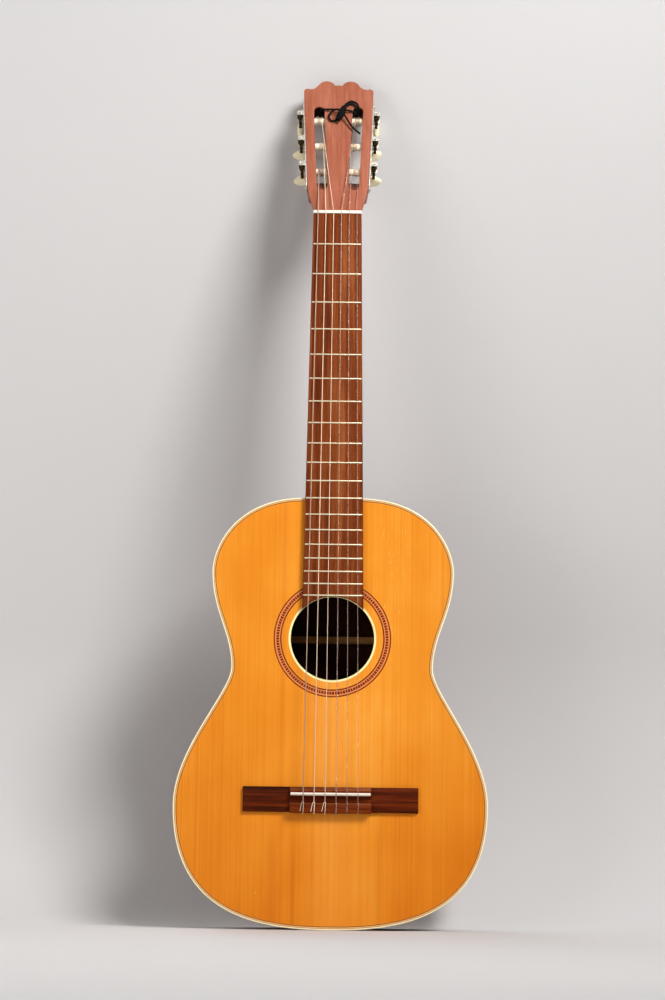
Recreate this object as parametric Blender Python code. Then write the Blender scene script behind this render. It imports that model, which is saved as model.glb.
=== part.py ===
"""Classical guitar with a slotted head, six strings and six worm-driven tuners.

Metres, +Z up along the neck, the front of the guitar faces -Y and the bass side is -X.
The origin is at the bottom centre: the tail end rests on z = 0.
"""

import math

import bmesh
import bpy
from mathutils import Matrix, Vector

# Fits and clearances
GAP = 0.0003
ROUND_SIDES = 12

# Body outline, half of it from the tail up to the neck
BODY_LENGTH = 0.4716
LOWER_BOUT_WIDTH = 0.3428
LOWER_BOUT_HEIGHT = 0.1335
WAIST_WIDTH = 0.2211
WAIST_HEIGHT = 0.2826
UPPER_BOUT_WIDTH = 0.2664
UPPER_BOUT_HEIGHT = 0.3892
NECK_END_WIDTH = 0.060
TAIL_ROUND = 0.37
LOWER_ROUND_BELOW = 0.95
LOWER_ROUND_ABOVE = 0.404
WAIST_ROUND_BELOW = 0.178
WAIST_ROUND_ABOVE = 0.357
UPPER_ROUND_BELOW = 0.423
UPPER_ROUND_ABOVE = 0.314
SHOULDER_ROUND = 0.773
OUTLINE_STEPS = (10, 6, 5, 8)

# Body box
BODY_DEPTH_TAIL = 0.095
BODY_DEPTH_NECK = 0.090
TOP_THICKNESS = 0.0028
BACK_THICKNESS = 0.0028
SIDE_THICKNESS = 0.0022
BINDING_WIDTH = 0.0025
BINDING_DEPTH = 0.006
LINING_WIDTH = 0.0055
LINING_DEPTH = 0.014
NECK_BLOCK_WIDTH = 0.070
NECK_BLOCK_LENGTH = 0.026
TAIL_BLOCK_WIDTH = 0.080
TAIL_BLOCK_LENGTH = 0.016

# Soundhole and rosette
SOUNDHOLE_HEIGHT = 0.3155
SOUNDHOLE_RADIUS = 0.0458
HOLE_BINDING_WIDTH = 0.0023
ROSETTE_INSET = 0.0100
ROSETTE_WIDTH = 0.0090
ROSETTE_THICKNESS = 0.0010
HOLE_SIDES = 48
CUTTER_MARGIN = 0.0030

# Bars and braces
BAR_WIDTH = 0.008
BAR_DEPTH = 0.016
BAR_END_DEPTH = 0.006
BAR_SCALLOP = 0.035
UPPER_BAR_OFFSET = 0.0705
LOWER_BAR_OFFSET = 0.0675
FAN_BRACE_WIDTH = 0.005
FAN_BRACE_DEPTH = 0.006
FAN_BRACE_FOOT = 0.045
FAN_BRACE_SPREAD_TOP = 0.034
FAN_BRACE_SPREAD_FOOT = 0.062
FAN_BRACE_CLEARANCE = 0.008
BACK_BRACE_WIDTH = 0.0075
BACK_BRACE_DEPTH = 0.015
BRACE_TO_BLOCK = 0.03535
MIDDLE_BRACE_HEIGHT = 0.3205
LOWER_BRACE_HEIGHT = 0.1150

# Neck, from the heel to the nut
SCALE_LENGTH = 0.650
TWELFTH_FRET_INSET = 0.0011
NECK_DEPTH_NUT = 0.0165
NECK_DEPTH_HEEL = 0.0190
HEEL_INSET = 0.006
HEEL_CAP_LENGTH = 0.020
HEEL_SWEEP = 0.056
HEEL_BACK_SHARE = 0.36
HEEL_HOLLOW = 2.2
HEEL_FULLNESS = 8.0
SHAFT_FULLNESS = 2.0
NECK_STEPS = 12
HEEL_STEPS = 6
TENON_WIDTH = 0.020
TENON_LENGTH = 0.014
TENON_INSET = 0.003
TENON_FOOT_INSET = 0.0068

# Fingerboard, frets and nut
BOARD_THICKNESS = 0.006
BOARD_WIDTH_NUT = 0.0542
BOARD_WIDTH_BODY = 0.0637
BOARD_ARC_SETBACK = 0.0005
FRET_COUNT = 19
FRET_WIDTH = 0.0016
FRET_HEIGHT = 0.0010
NUT_THICKNESS = 0.0040
NUT_ADVANCE = 0.0010
NUT_RISE = 0.0003
NUT_CREST = 0.0008
NUT_FALL = 0.0024

# Head: rises are measured from the top of its slots, insets from its side.
# Each root of the neck inside it is (height, inset, share of the head's thickness).
HEAD_ANGLE = 18.0
HEAD_THICKNESS = 0.0195
VENEER_THICKNESS = 0.0018
HEAD_WIDTH_SHOULDER = 0.0696
HEAD_WIDTH_TOP = 0.0804
SHOULDER_HEIGHT = 0.037
SHOULDER_FLARE = 0.0030
SHOULDER_EASE = 0.0006
RAMP_HEIGHT = 0.0224
NECK_ROOTS = ((0.010, 0.0008, 0.90), (0.024, 0.0020, 0.80))
CORNER_RISE = 0.0216
CORNER_RADIUS = 0.0025
BUMP_INSET = 0.0044
BUMP_RISE = 0.0260
DIP_INSET = 0.0077
DIP_RISE = 0.0252
LOBE_X = 0.0146
LOBE_RISE = 0.0368
NOTCH_X = 0.0048
NOTCH_RISE = 0.0309
CHEEK_WIDTH = 0.0107
SLOT_WIDTH = 0.0121
SLOT_BELOW_ROLLERS = 0.0280
SLOT_ABOVE_ROLLERS = 0.0164
END_STEPS = 6

# Tuning machines
ROLLER_COUNT = 3
FIRST_ROLLER_HEIGHT = 0.0560
ROLLER_SPACING = 0.0350
ROLLER_DEPTH = 0.0070
ROLLER_RADIUS = 0.0040
ROLLER_SEAT = 0.0045
ROLLER_STUB_RADIUS = 0.0022
PLATE_THICKNESS = 0.0012
PLATE_WIDTH = 0.0150
PLATE_OVERHANG = 0.0260
LUG_WALL = 0.0025
LUG_HEIGHT = 0.0064
LUG_THICKNESS = 0.0014
GEAR_FACE_WIDTH = 0.0034
GEAR_TEETH = 14
GEAR_PITCH_RADIUS = 0.0060
GEAR_ADDENDUM = 0.00072
GEAR_DEDENDUM = 0.00098
WORM_PITCH_RADIUS = 0.0028
WORM_ADDENDUM = 0.00062
WORM_DEDENDUM = 0.00095
TOOTH_SHARE = 0.40
FLANK_ANGLE = 22.0
WORM_STEPS = 10
WORM_TURNS = 3
WORM_END = 0.00015
SHAFT_RADIUS = 0.0014
SHAFT_COLLAR_RADIUS = 0.0023
SHAFT_TIP = 0.0006
BUTTON_START = 0.0275
BUTTON_LENGTH = 0.0160
BUTTON_HALF_WIDTH = 0.0096
BUTTON_HALF_THICKNESS = 0.0037
BUTTON_BORE_DEPTH = 0.0080
BUTTON_TURNS = {"bass": (0, 8, 90), "treble": (-10, -38, 90)}

# Shape of a button: shares of its length, half width and half thickness
BUTTON_PROFILE = ((0.0, 0.32, 0.72), (0.10, 0.40, 0.80), (0.28, 0.76, 0.92), (0.50, 0.98, 1.0),
                  (0.72, 0.98, 0.96), (0.90, 0.74, 0.78), (1.0, 0.40, 0.46))

# Bridge and saddle
BRIDGE_LENGTH = 0.1906
BRIDGE_CENTRE_LENGTH = 0.0885
BRIDGE_TOP_EDGE = 0.0079
BRIDGE_FOOT_EDGE = 0.0194
BRIDGE_WING_HEIGHT = 0.0040
BRIDGE_DECK_HEIGHT = 0.0090
BRIDGE_EDGE = 0.0010
DECK_SLOPE = 0.0030
DECK_SHOULDER = 0.0008
DECK_ROUND = 0.0015
SADDLE_LIP_WIDTH = 0.0012
SADDLE_LIP_DROP = 0.0010
TROUGH_SLOPE = 0.0010
SADDLE_THICKNESS = 0.0030
SADDLE_END_INSET = 0.00075
SADDLE_HEIGHT = 0.0125
SADDLE_FALL = 0.0016
SADDLE_EASE = 0.0005
SADDLE_SLOT_FLOOR = 0.0046
TROUGH_FLOOR = 0.0050
TIE_BLOCK_WIDTH = 0.0098
TIE_BLOCK_HEIGHT = 0.0100
TIE_BLOCK_EDGE = 0.0005
STRING_HOLE_RADIUS = 0.0013
STRING_HOLE_HEIGHT = 0.0072

# Strings, from the low one on the bass side to the high one
STRING_DIAMETERS = (0.00110, 0.00090, 0.00076, 0.00103, 0.00082, 0.00071)
WOUND_STRINGS = 3
STRING_EDGE_INSET = 0.0053
STRING_SPREAD_SADDLE = 0.0594
WINDING_TURNS = 3
WINDING_POINTS = 10
WINDING_CLEARANCE = 0.00055
WINDING_STARTS = (0.0030, -0.0034, -0.0021)
TIE_LOOP_HALF = 0.0013
TIE_TAIL_HALF = 0.0021
TIE_LEG_INSET = 0.0010
TIE_APEX_REACH = 0.0024
TIE_BEND = 0.0012
TIE_STAND_OFF = 0.0006

# Lace tied round the centre bar of the head: (x, depth behind the face, height up the head)
LACE_DIAMETER = 0.0022
LACE_STEPS = 2
LACE_ROUTE = (
    (0.0247, -0.0031, 0.1035), (0.0153, -0.0033, 0.1135), (0.0078, -0.0052, 0.1260),
    (0.0030, -0.0076, 0.1316), (-0.0030, -0.0069, 0.1342), (-0.0086, -0.0040, 0.1324),
    (-0.0112, -0.0020, 0.1276), (-0.0090, -0.0018, 0.1228), (-0.0042, -0.0018, 0.1220),
    (-0.0004, -0.0018, 0.1258), (0.0024, -0.0018, 0.1312), (0.0050, -0.0018, 0.1390),
    (0.0090, -0.0018, 0.1463), (0.0146, -0.0019, 0.1496), (0.0200, -0.0024, 0.1469),
    (0.0226, -0.0024, 0.1426), (0.0228, 0.0009, 0.1395), (0.0222, 0.0085, 0.1389),
    (0.0208, 0.0170, 0.1391), (0.0160, 0.0215, 0.1389), (0.0000, 0.0220, 0.1384),
    (-0.0160, 0.0215, 0.1388), (-0.0208, 0.0170, 0.1390), (-0.0222, 0.0095, 0.1392),
    (-0.0216, 0.0026, 0.1390), (-0.0186, -0.0016, 0.1383), (-0.0130, -0.0023, 0.1374),
    (-0.0040, -0.0039, 0.1366), (0.0040, -0.0049, 0.1358), (0.0110, -0.0033, 0.1356),
    (0.0162, -0.0019, 0.1357), (0.0200, 0.0016, 0.1354), (0.0207, 0.0080, 0.1353),
    (0.0196, 0.0165, 0.1352), (0.0156, 0.0215, 0.1349), (0.0000, 0.0220, 0.1344),
    (-0.0156, 0.0215, 0.1348), (-0.0198, 0.0160, 0.1352), (-0.0207, 0.0080, 0.1354),
)

# Places that follow from the sizes above
NUT_Z = BODY_LENGTH - TWELFTH_FRET_INSET + SCALE_LENGTH / 2
SADDLE_Z = NUT_Z - SCALE_LENGTH
FRET_TOP = GAP + BOARD_THICKNESS + FRET_HEIGHT
NUT_TOP = FRET_TOP + NUT_RISE
HEAD_Z = NUT_Z + NUT_THICKNESS - NUT_ADVANCE
FRONT_REACH = SADDLE_HEIGHT + GAP + max(STRING_DIAMETERS)
FACE_Y = (FRONT_REACH - BODY_DEPTH_TAIL) / 2
ROSETTE_INNER_RADIUS = SOUNDHOLE_RADIUS + ROSETTE_INSET
BOARD_ARC_RADIUS = SOUNDHOLE_RADIUS + BOARD_ARC_SETBACK
UPPER_BAR_HEIGHT = SOUNDHOLE_HEIGHT + UPPER_BAR_OFFSET
LOWER_BAR_HEIGHT = SOUNDHOLE_HEIGHT - LOWER_BAR_OFFSET
NECK_BLOCK_FOOT = BODY_LENGTH - SIDE_THICKNESS - GAP - NECK_BLOCK_LENGTH
UPPER_BRACE_HEIGHT = NECK_BLOCK_FOOT - BRACE_TO_BLOCK - BACK_BRACE_WIDTH / 2
LINING_OUTER = max(BINDING_WIDTH, SIDE_THICKNESS) + GAP
LINING_INNER = LINING_OUTER + LINING_WIDTH
HEEL_DEPTH = BODY_DEPTH_NECK - HEEL_INSET
TENON_TOP = TOP_THICKNESS + GAP + LINING_DEPTH + TENON_INSET
TENON_FOOT = BODY_DEPTH_NECK - BACK_THICKNESS - GAP - LINING_DEPTH - TENON_FOOT_INSET
WOOD_FACE = VENEER_THICKNESS + GAP
HEAD_TILT = math.radians(HEAD_ANGLE)
SLOT_FOOT = FIRST_ROLLER_HEIGHT - SLOT_BELOW_ROLLERS
SLOT_TOP = FIRST_ROLLER_HEIGHT + ROLLER_SPACING * (ROLLER_COUNT - 1) + SLOT_ABOVE_ROLLERS
CORNER_HEIGHT = SLOT_TOP + CORNER_RISE
SIDE_TAPER = math.atan((HEAD_WIDTH_TOP - HEAD_WIDTH_SHOULDER) / 2 / (CORNER_HEIGHT - SHOULDER_HEIGHT))
TOOTH_PITCH = 2 * math.pi * GEAR_PITCH_RADIUS / GEAR_TEETH
TOOTH_HALF = TOOTH_SHARE * TOOTH_PITCH / 2
FLANK_SLOPE = math.tan(math.radians(FLANK_ANGLE))
THREAD_ROOT_HALF = TOOTH_HALF + WORM_DEDENDUM * FLANK_SLOPE
WORM_LENGTH = WORM_TURNS * TOOTH_PITCH + 2 * (THREAD_ROOT_HALF + WORM_END)
WORM_RISE = WORM_PITCH_RADIUS + GEAR_PITCH_RADIUS
GEAR_OFFSET = GAP + PLATE_THICKNESS + GAP + WORM_PITCH_RADIUS + WORM_ADDENDUM
STRING_SPREAD_NUT = BOARD_WIDTH_NUT - 2 * STRING_EDGE_INSET
SADDLE_LENGTH = BRIDGE_CENTRE_LENGTH - 2 * SADDLE_END_INSET
SIDES = {"bass": -1, "treble": 1}


def material(name, colour, roughness, metallic=0.0):
    """A plain Principled BSDF material."""
    made = bpy.data.materials.new(name)
    made.use_nodes = True
    shader = made.node_tree.nodes["Principled BSDF"]
    shader.inputs["Base Color"].default_value = (*colour, 1.0)
    shader.inputs["Roughness"].default_value = roughness
    shader.inputs["Metallic"].default_value = metallic
    return made


def make_materials():
    """Every material of the guitar, by name."""
    return {
        "spruce": material("spruce", (0.74, 0.33, 0.07), 0.35),
        "mahogany": material("mahogany", (0.22, 0.075, 0.03), 0.35),
        "cedar_neck": material("cedar_neck", (0.30, 0.12, 0.05), 0.4),
        "veneer": material("veneer", (0.45, 0.16, 0.10), 0.4),
        "rosewood": material("rosewood", (0.13, 0.05, 0.025), 0.5),
        "inner_wood": material("inner_wood", (0.55, 0.36, 0.18), 0.7),
        "cream": material("cream", (0.83, 0.72, 0.47), 0.35),
        "bone": material("bone", (0.90, 0.88, 0.80), 0.35),
        "inlay": material("inlay", (0.42, 0.14, 0.07), 0.4),
        "nickel": material("nickel", (0.72, 0.70, 0.66), 0.25, 1.0),
        "brass": material("brass", (0.30, 0.22, 0.10), 0.4, 1.0),
        "wound_wire": material("wound_wire", (0.62, 0.58, 0.52), 0.3, 1.0),
        "nylon": material("nylon", (0.80, 0.80, 0.78), 0.2),
        "black_cord": material("black_cord", (0.015, 0.015, 0.015), 0.8),
    }


def add_object(name, mesh, finish, frame=None):
    """Link one object that carries the given mesh."""
    made = bpy.data.objects.new(name, mesh)
    bpy.context.scene.collection.objects.link(made)
    if frame is not None:
        made.matrix_world = frame
    if finish is not None and not mesh.materials:
        mesh.materials.append(finish)
    return made


def closed_mesh(name, points, faces, round_piece=False):
    """A mesh whose faces all point out of the closed body."""
    mesh = bpy.data.meshes.new(name)
    mesh.from_pydata([tuple(p) for p in points], [], faces)
    shell = bmesh.new()
    shell.from_mesh(mesh)
    bmesh.ops.recalc_face_normals(shell, faces=shell.faces)
    shell.to_mesh(mesh)
    shell.free()
    if round_piece:
        mesh.shade_smooth()
        mesh.set_sharp_from_angle(angle=math.radians(40))
    return mesh


def loft_mesh(name, rings, closed_loop=False, round_piece=False):
    """Skin a row of equal rings, with a flat cap on each open end."""
    count = len(rings[0])
    points = [p for ring in rings for p in ring]
    spans = len(rings) if closed_loop else len(rings) - 1
    faces = []
    for i in range(spans):
        here = i * count
        after = (i + 1) % len(rings) * count
        for j in range(count):
            k = (j + 1) % count
            faces.append((here + j, here + k, after + k, after + j))
    if not closed_loop:
        faces.append(tuple(range(count)))
        faces.append(tuple(range(len(points) - count, len(points))))
    return closed_mesh(name, points, faces, round_piece)


def box_mesh(name, low, high):
    """An axis-aligned box between two corners."""
    ring = [(low[0], low[1]), (high[0], low[1]), (high[0], high[1]), (low[0], high[1])]
    return loft_mesh(name, [[(x, y, low[2]) for x, y in ring], [(x, y, high[2]) for x, y in ring]])


def circle(radius, sides, turn=0.0):
    """Corners of a regular polygon of the given corner radius."""
    return [(radius * math.cos(turn + 2 * math.pi * i / sides), radius * math.sin(turn + 2 * math.pi * i / sides))
            for i in range(sides)]


def bore_corner_radius(radius, sides=ROUND_SIDES):
    """Corner radius of a faceted bore whose flats clear a round pin by GAP."""
    return (radius + GAP) / math.cos(math.pi / sides)


def turned_x(name, profile, sides=ROUND_SIDES):
    """A round piece along X from (x, radius) pairs."""
    rings = [[(x, a, b) for a, b in circle(radius, sides)] for x, radius in profile]
    return loft_mesh(name, rings, round_piece=True)


def join_meshes(name, meshes):
    """One mesh that holds several separate closed bodies, for a cutter."""
    shell = bmesh.new()
    for mesh in meshes:
        shell.from_mesh(mesh)
    joined = bpy.data.meshes.new(name)
    shell.to_mesh(joined)
    shell.free()
    return joined


def moved(mesh, frame):
    """The same mesh, moved by a matrix."""
    mesh.transform(frame)
    return mesh


def combine(target, tool_mesh, operation, frame=None):
    """Cut or join a hidden tool with the target by a Boolean modifier."""
    tool = add_object(tool_mesh.name, tool_mesh, None, frame)
    tool.hide_render = True
    tool.display_type = 'WIRE'
    step = target.modifiers.new(tool_mesh.name, 'BOOLEAN')
    step.operation = operation
    step.solver = 'EXACT'
    step.object = tool


def bezier(start, first, second, end, steps):
    """Points of a cubic curve, without its last one."""
    points = []
    for i in range(steps):
        t = i / steps
        u = 1 - t
        weights = (u ** 3, 3 * u * u * t, 3 * u * t * t, t ** 3)
        points.append(tuple(sum(w * p[axis] for w, p in zip(weights, (start, first, second, end)))
                            for axis in range(2)))
    return points


def half_outline():
    """Treble half of the body outline in (x, z), from the tail's centre to the neck's centre."""
    tail = (0.0, 0.0)
    lower = (LOWER_BOUT_WIDTH / 2, LOWER_BOUT_HEIGHT)
    waist = (WAIST_WIDTH / 2, WAIST_HEIGHT)
    upper = (UPPER_BOUT_WIDTH / 2, UPPER_BOUT_HEIGHT)
    neck = (NECK_END_WIDTH / 2, BODY_LENGTH)
    lower_rise = waist[1] - lower[1]
    waist_rise = upper[1] - waist[1]
    upper_rise = neck[1] - upper[1]
    tail_steps, lower_steps, waist_steps, upper_steps = OUTLINE_STEPS
    points = bezier(tail, (lower[0] * TAIL_ROUND, 0.0),
                    (lower[0], lower[1] * (1 - LOWER_ROUND_BELOW)), lower, tail_steps)
    points += bezier(lower, (lower[0], lower[1] + lower_rise * LOWER_ROUND_ABOVE),
                     (waist[0], waist[1] - lower_rise * WAIST_ROUND_BELOW), waist, lower_steps)
    points += bezier(waist, (waist[0], waist[1] + waist_rise * WAIST_ROUND_ABOVE),
                     (upper[0], upper[1] - waist_rise * UPPER_ROUND_BELOW), upper, waist_steps)
    points += bezier(upper, (upper[0], upper[1] + upper_rise * UPPER_ROUND_ABOVE),
                     (neck[0] + (upper[0] - neck[0]) * SHOULDER_ROUND, neck[1]), neck, upper_steps)
    return points + [neck, (0.0, BODY_LENGTH)]


def whole_outline():
    """The closed outline, up the treble side and down the bass side."""
    half = half_outline()
    return half + [(-x, z) for x, z in reversed(half[1:-1])]


def outward(points, index):
    """Outward unit normal of a closed anticlockwise path at one of its points."""
    before = points[index - 1]
    after = points[(index + 1) % len(points)]
    along = Vector((after[0] - before[0], after[1] - before[1])).normalized()
    return Vector((along[1], -along[0]))


def stations(points):
    """Each outline point with its outward normal."""
    return [(Vector(p), outward(points, i)) for i, p in enumerate(points)]


OUTLINE = stations(whole_outline())


def back_y(z):
    """Height of the back's outer plane in Y, which tapers from the tail to the neck."""
    return FACE_Y + BODY_DEPTH_TAIL + (BODY_DEPTH_NECK - BODY_DEPTH_TAIL) * z / BODY_LENGTH


def swept_ring(station, profile):
    """The profile's corners at one outline station.

    A corner is (inset, plane, depth): depth is measured from the face or from the back's plane.
    """
    point, normal = station
    ring = []
    for inset, plane, depth in profile:
        place = point - normal * inset
        base = FACE_Y if plane == "face" else back_y(place[1])
        ring.append((place[0], base + depth, place[1]))
    return ring


def sweep_mesh(name, path, profile, closed_loop):
    """Sweep a profile round the outline or along a stretch of it."""
    return loft_mesh(name, [swept_ring(station, profile) for station in path], closed_loop)


def rectangle_profile(inset_from, inset_to, plane_from, depth_from, plane_to, depth_to):
    """A four-cornered profile for the sweep."""
    return [(inset_from, plane_from, depth_from), (inset_to, plane_from, depth_from),
            (inset_to, plane_to, depth_to), (inset_from, plane_to, depth_to)]


def station_at_x(first, second, x):
    """A station between two others where the outline crosses x."""
    share = (x - first[0][0]) / (second[0][0] - first[0][0])
    point = first[0].lerp(second[0], share)
    normal = first[1].lerp(second[1], share).normalized()
    return point, normal


def stretch_within(half_width, near_neck):
    """Stations of the outline's short stretch within half_width of the centre line."""
    middle = BODY_LENGTH / 2
    kept = [s for s in OUTLINE if (s[0][1] > middle) == near_neck]
    kept.sort(key=lambda s: s[0][0])
    inside = [i for i, s in enumerate(kept) if abs(s[0][0]) < half_width]
    first, last = inside[0], inside[-1]
    start = station_at_x(kept[first - 1], kept[first], -half_width)
    end = station_at_x(kept[last], kept[last + 1], half_width)
    return [start] + kept[first:last + 1] + [end]


def inner_half_width(z, inset):
    """Half width of the body at height z, measured at the given inset from the outline."""
    half = [point - normal * inset for point, normal in OUTLINE[:len(half_outline())]]
    for low, high in zip(half, half[1:]):
        if low[1] <= z < high[1]:
            share = (z - low[1]) / (high[1] - low[1])
            return low[0] + (high[0] - low[0]) * share
    return half[-1][0]


def build_plates(finishes):
    """Soundboard and back."""
    inset = BINDING_WIDTH + GAP
    top = [swept_ring(s, [(inset, "face", 0), (inset, "face", TOP_THICKNESS)]) for s in OUTLINE]
    mesh = loft_mesh("soundboard", [[pair[0] for pair in top], [pair[1] for pair in top]])
    soundboard = add_object("soundboard", mesh, finishes["spruce"])
    hole_radius = SOUNDHOLE_RADIUS + HOLE_BINDING_WIDTH + GAP
    cutter = disc("soundhole_cutter", hole_radius, -CUTTER_MARGIN, TOP_THICKNESS + CUTTER_MARGIN)
    combine(soundboard, cutter, 'DIFFERENCE')
    channel = annulus("rosette_channel_cutter", ROSETTE_INNER_RADIUS - GAP,
                      ROSETTE_INNER_RADIUS + ROSETTE_WIDTH + GAP, -CUTTER_MARGIN, ROSETTE_THICKNESS + GAP)
    combine(soundboard, channel, 'DIFFERENCE')
    bottom = [swept_ring(s, [(inset, "back", -BACK_THICKNESS), (inset, "back", 0)]) for s in OUTLINE]
    mesh = loft_mesh("back", [[pair[0] for pair in bottom], [pair[1] for pair in bottom]])
    add_object("back", mesh, finishes["mahogany"])


def disc(name, radius, depth_from, depth_to):
    """A round slab at the soundhole, between two depths behind the soundboard's face."""
    rings = [[(x, FACE_Y + depth, SOUNDHOLE_HEIGHT + z) for x, z in circle(radius, HOLE_SIDES)]
             for depth in (depth_from, depth_to)]
    return loft_mesh(name, rings)


def annulus(name, inner, outer, depth_from, depth_to):
    """A flat ring round the soundhole."""
    inner_edge = circle(inner, HOLE_SIDES)
    outer_edge = circle(outer, HOLE_SIDES)
    rings = []
    for (ix, iz), (ox, oz) in zip(inner_edge, outer_edge):
        corners = ((ix, iz, depth_from), (ox, oz, depth_from), (ox, oz, depth_to), (ix, iz, depth_to))
        rings.append([(x, FACE_Y + depth, SOUNDHOLE_HEIGHT + z) for x, z, depth in corners])
    return loft_mesh(name, rings, closed_loop=True, round_piece=True)


def build_hole_rings(finishes):
    """The binding round the soundhole's edge and the inlaid rosette."""
    ring = annulus("soundhole_binding", SOUNDHOLE_RADIUS, SOUNDHOLE_RADIUS + HOLE_BINDING_WIDTH, 0, TOP_THICKNESS)
    add_object("soundhole_binding", ring, finishes["cream"])
    rosette = annulus("rosette", ROSETTE_INNER_RADIUS, ROSETTE_INNER_RADIUS + ROSETTE_WIDTH, 0, ROSETTE_THICKNESS)
    add_object("rosette", rosette, finishes["inlay"])


def build_rims(finishes):
    """Bindings, sides and linings that run round the body."""
    top = rectangle_profile(0, BINDING_WIDTH, "face", 0, "face", BINDING_DEPTH)
    add_object("top_binding", sweep_mesh("top_binding", OUTLINE, top, True), finishes["cream"])
    bottom = rectangle_profile(0, BINDING_WIDTH, "back", -BINDING_DEPTH, "back", 0)
    add_object("back_binding", sweep_mesh("back_binding", OUTLINE, bottom, True), finishes["cream"])
    edge = BINDING_DEPTH + GAP
    side = rectangle_profile(0, SIDE_THICKNESS, "face", edge, "back", -edge)
    half = OUTLINE[:len(half_outline())]
    tail_end = station_at_x(half[0], half[1], GAP / 2)
    neck_end = station_at_x(half[-2], half[-1], TENON_WIDTH / 2 + GAP)
    treble = [tail_end] + half[1:-1] + [neck_end]
    bass = [(Vector((-p[0], p[1])), Vector((-n[0], n[1]))) for p, n in reversed(treble)]
    add_object("side_treble", sweep_mesh("side_treble", treble, side, False), finishes["mahogany"])
    add_object("side_bass", sweep_mesh("side_bass", bass, side, False), finishes["mahogany"])
    start = TOP_THICKNESS + GAP
    lining = rectangle_profile(LINING_OUTER, LINING_INNER, "face", start, "face", start + LINING_DEPTH)
    add_object("top_lining", sweep_mesh("top_lining", OUTLINE, lining, True), finishes["inner_wood"])
    start = BACK_THICKNESS + GAP
    lining = rectangle_profile(LINING_OUTER, LINING_INNER, "back", -start - LINING_DEPTH, "back", -start)
    add_object("back_lining", sweep_mesh("back_lining", OUTLINE, lining, True), finishes["inner_wood"])


def block_profile(length):
    """A block between soundboard and back, notched round both linings."""
    outer = SIDE_THICKNESS + GAP
    inner = outer + length
    notch = LINING_INNER + GAP
    top = TOP_THICKNESS + GAP
    back = BACK_THICKNESS + GAP
    deep = LINING_DEPTH + GAP
    return [(notch, "face", top), (notch, "face", top + deep), (outer, "face", top + deep),
            (outer, "back", -back - deep), (notch, "back", -back - deep), (notch, "back", -back),
            (inner, "back", -back), (inner, "face", top)]


def build_blocks(finishes):
    """Neck block, with a mortise for the neck's tenon, and tail block."""
    path = stretch_within(NECK_BLOCK_WIDTH / 2, True)
    mesh = sweep_mesh("neck_block", path, block_profile(NECK_BLOCK_LENGTH), False)
    neck_block = add_object("neck_block", mesh, finishes["inner_wood"])
    half = TENON_WIDTH / 2 + GAP
    low = (-half, FACE_Y + TENON_TOP - GAP, BODY_LENGTH - TENON_LENGTH - GAP)
    high = (half, FACE_Y + TENON_FOOT + GAP, BODY_LENGTH + TENON_LENGTH)
    combine(neck_block, box_mesh("mortise_cutter", low, high), 'DIFFERENCE')
    path = stretch_within(TAIL_BLOCK_WIDTH / 2, False)
    mesh = sweep_mesh("tail_block", path, block_profile(TAIL_BLOCK_LENGTH), False)
    add_object("tail_block", mesh, finishes["inner_wood"])


def cross_bar(name, height, width, depth, plane_y, inward, finish):
    """A bar across the body with thinned ends, glued to the plate at plane_y."""
    inset = LINING_INNER + GAP
    reach = min(inner_half_width(height - width / 2, inset), inner_half_width(height + width / 2, inset)) - GAP
    shape = [(-reach, 0), (reach, 0), (reach, BAR_END_DEPTH), (reach - BAR_SCALLOP, depth),
             (-reach + BAR_SCALLOP, depth), (-reach, BAR_END_DEPTH)]
    rings = []
    for z in (height - width / 2, height + width / 2):
        rings.append([(x, plane_y(z) + inward * (GAP + d), z) for x, d in shape])
    add_object(name, loft_mesh(name, rings), finish)


def build_bars(finishes):
    """Harmonic bars and fan braces under the soundboard, and braces on the back."""
    def under_top(z):
        return FACE_Y + TOP_THICKNESS

    def inside_back(z):
        return back_y(z) - BACK_THICKNESS

    wood = finishes["inner_wood"]
    cross_bar("harmonic_bar_upper", UPPER_BAR_HEIGHT, BAR_WIDTH, BAR_DEPTH, under_top, 1, wood)
    cross_bar("harmonic_bar_lower", LOWER_BAR_HEIGHT, BAR_WIDTH, BAR_DEPTH, under_top, 1, wood)
    braces = {"upper": UPPER_BRACE_HEIGHT, "middle": MIDDLE_BRACE_HEIGHT, "lower": LOWER_BRACE_HEIGHT}
    for name, height in braces.items():
        cross_bar("back_brace_" + name, height, BACK_BRACE_WIDTH, BACK_BRACE_DEPTH, inside_back, -1, wood)
    head = LOWER_BAR_HEIGHT - BAR_WIDTH / 2 - FAN_BRACE_CLEARANCE
    front = FACE_Y + TOP_THICKNESS + GAP
    for name, sign in (("bass", -1), ("centre", 0), ("treble", 1)):
        low = Vector((sign * FAN_BRACE_SPREAD_FOOT, FAN_BRACE_FOOT))
        high = Vector((sign * FAN_BRACE_SPREAD_TOP, head))
        along = (high - low).normalized()
        across = Vector((along[1], -along[0])) * FAN_BRACE_WIDTH / 2
        corners = [low - across, low + across, high + across, high - across]
        rings = [[(p[0], front, p[1]) for p in corners],
                 [(p[0], front + FAN_BRACE_DEPTH, p[1]) for p in corners]]
        add_object("fan_brace_" + name, loft_mesh("fan_brace_" + name, rings), wood)


def board_half_width(z):
    """Half width of fingerboard and neck at height z."""
    share = (NUT_Z - z) / (NUT_Z - BODY_LENGTH)
    return (BOARD_WIDTH_NUT + (BOARD_WIDTH_BODY - BOARD_WIDTH_NUT) * share) / 2


def head_frame():
    """The head's frame: X across, Y into the head, Z up its face from the nut."""
    tilt = Matrix.Rotation(-HEAD_TILT, 4, 'X')
    return Matrix.Translation((0, FACE_Y - WOOD_FACE, HEAD_Z)) @ tilt


HEAD = head_frame()


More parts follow.
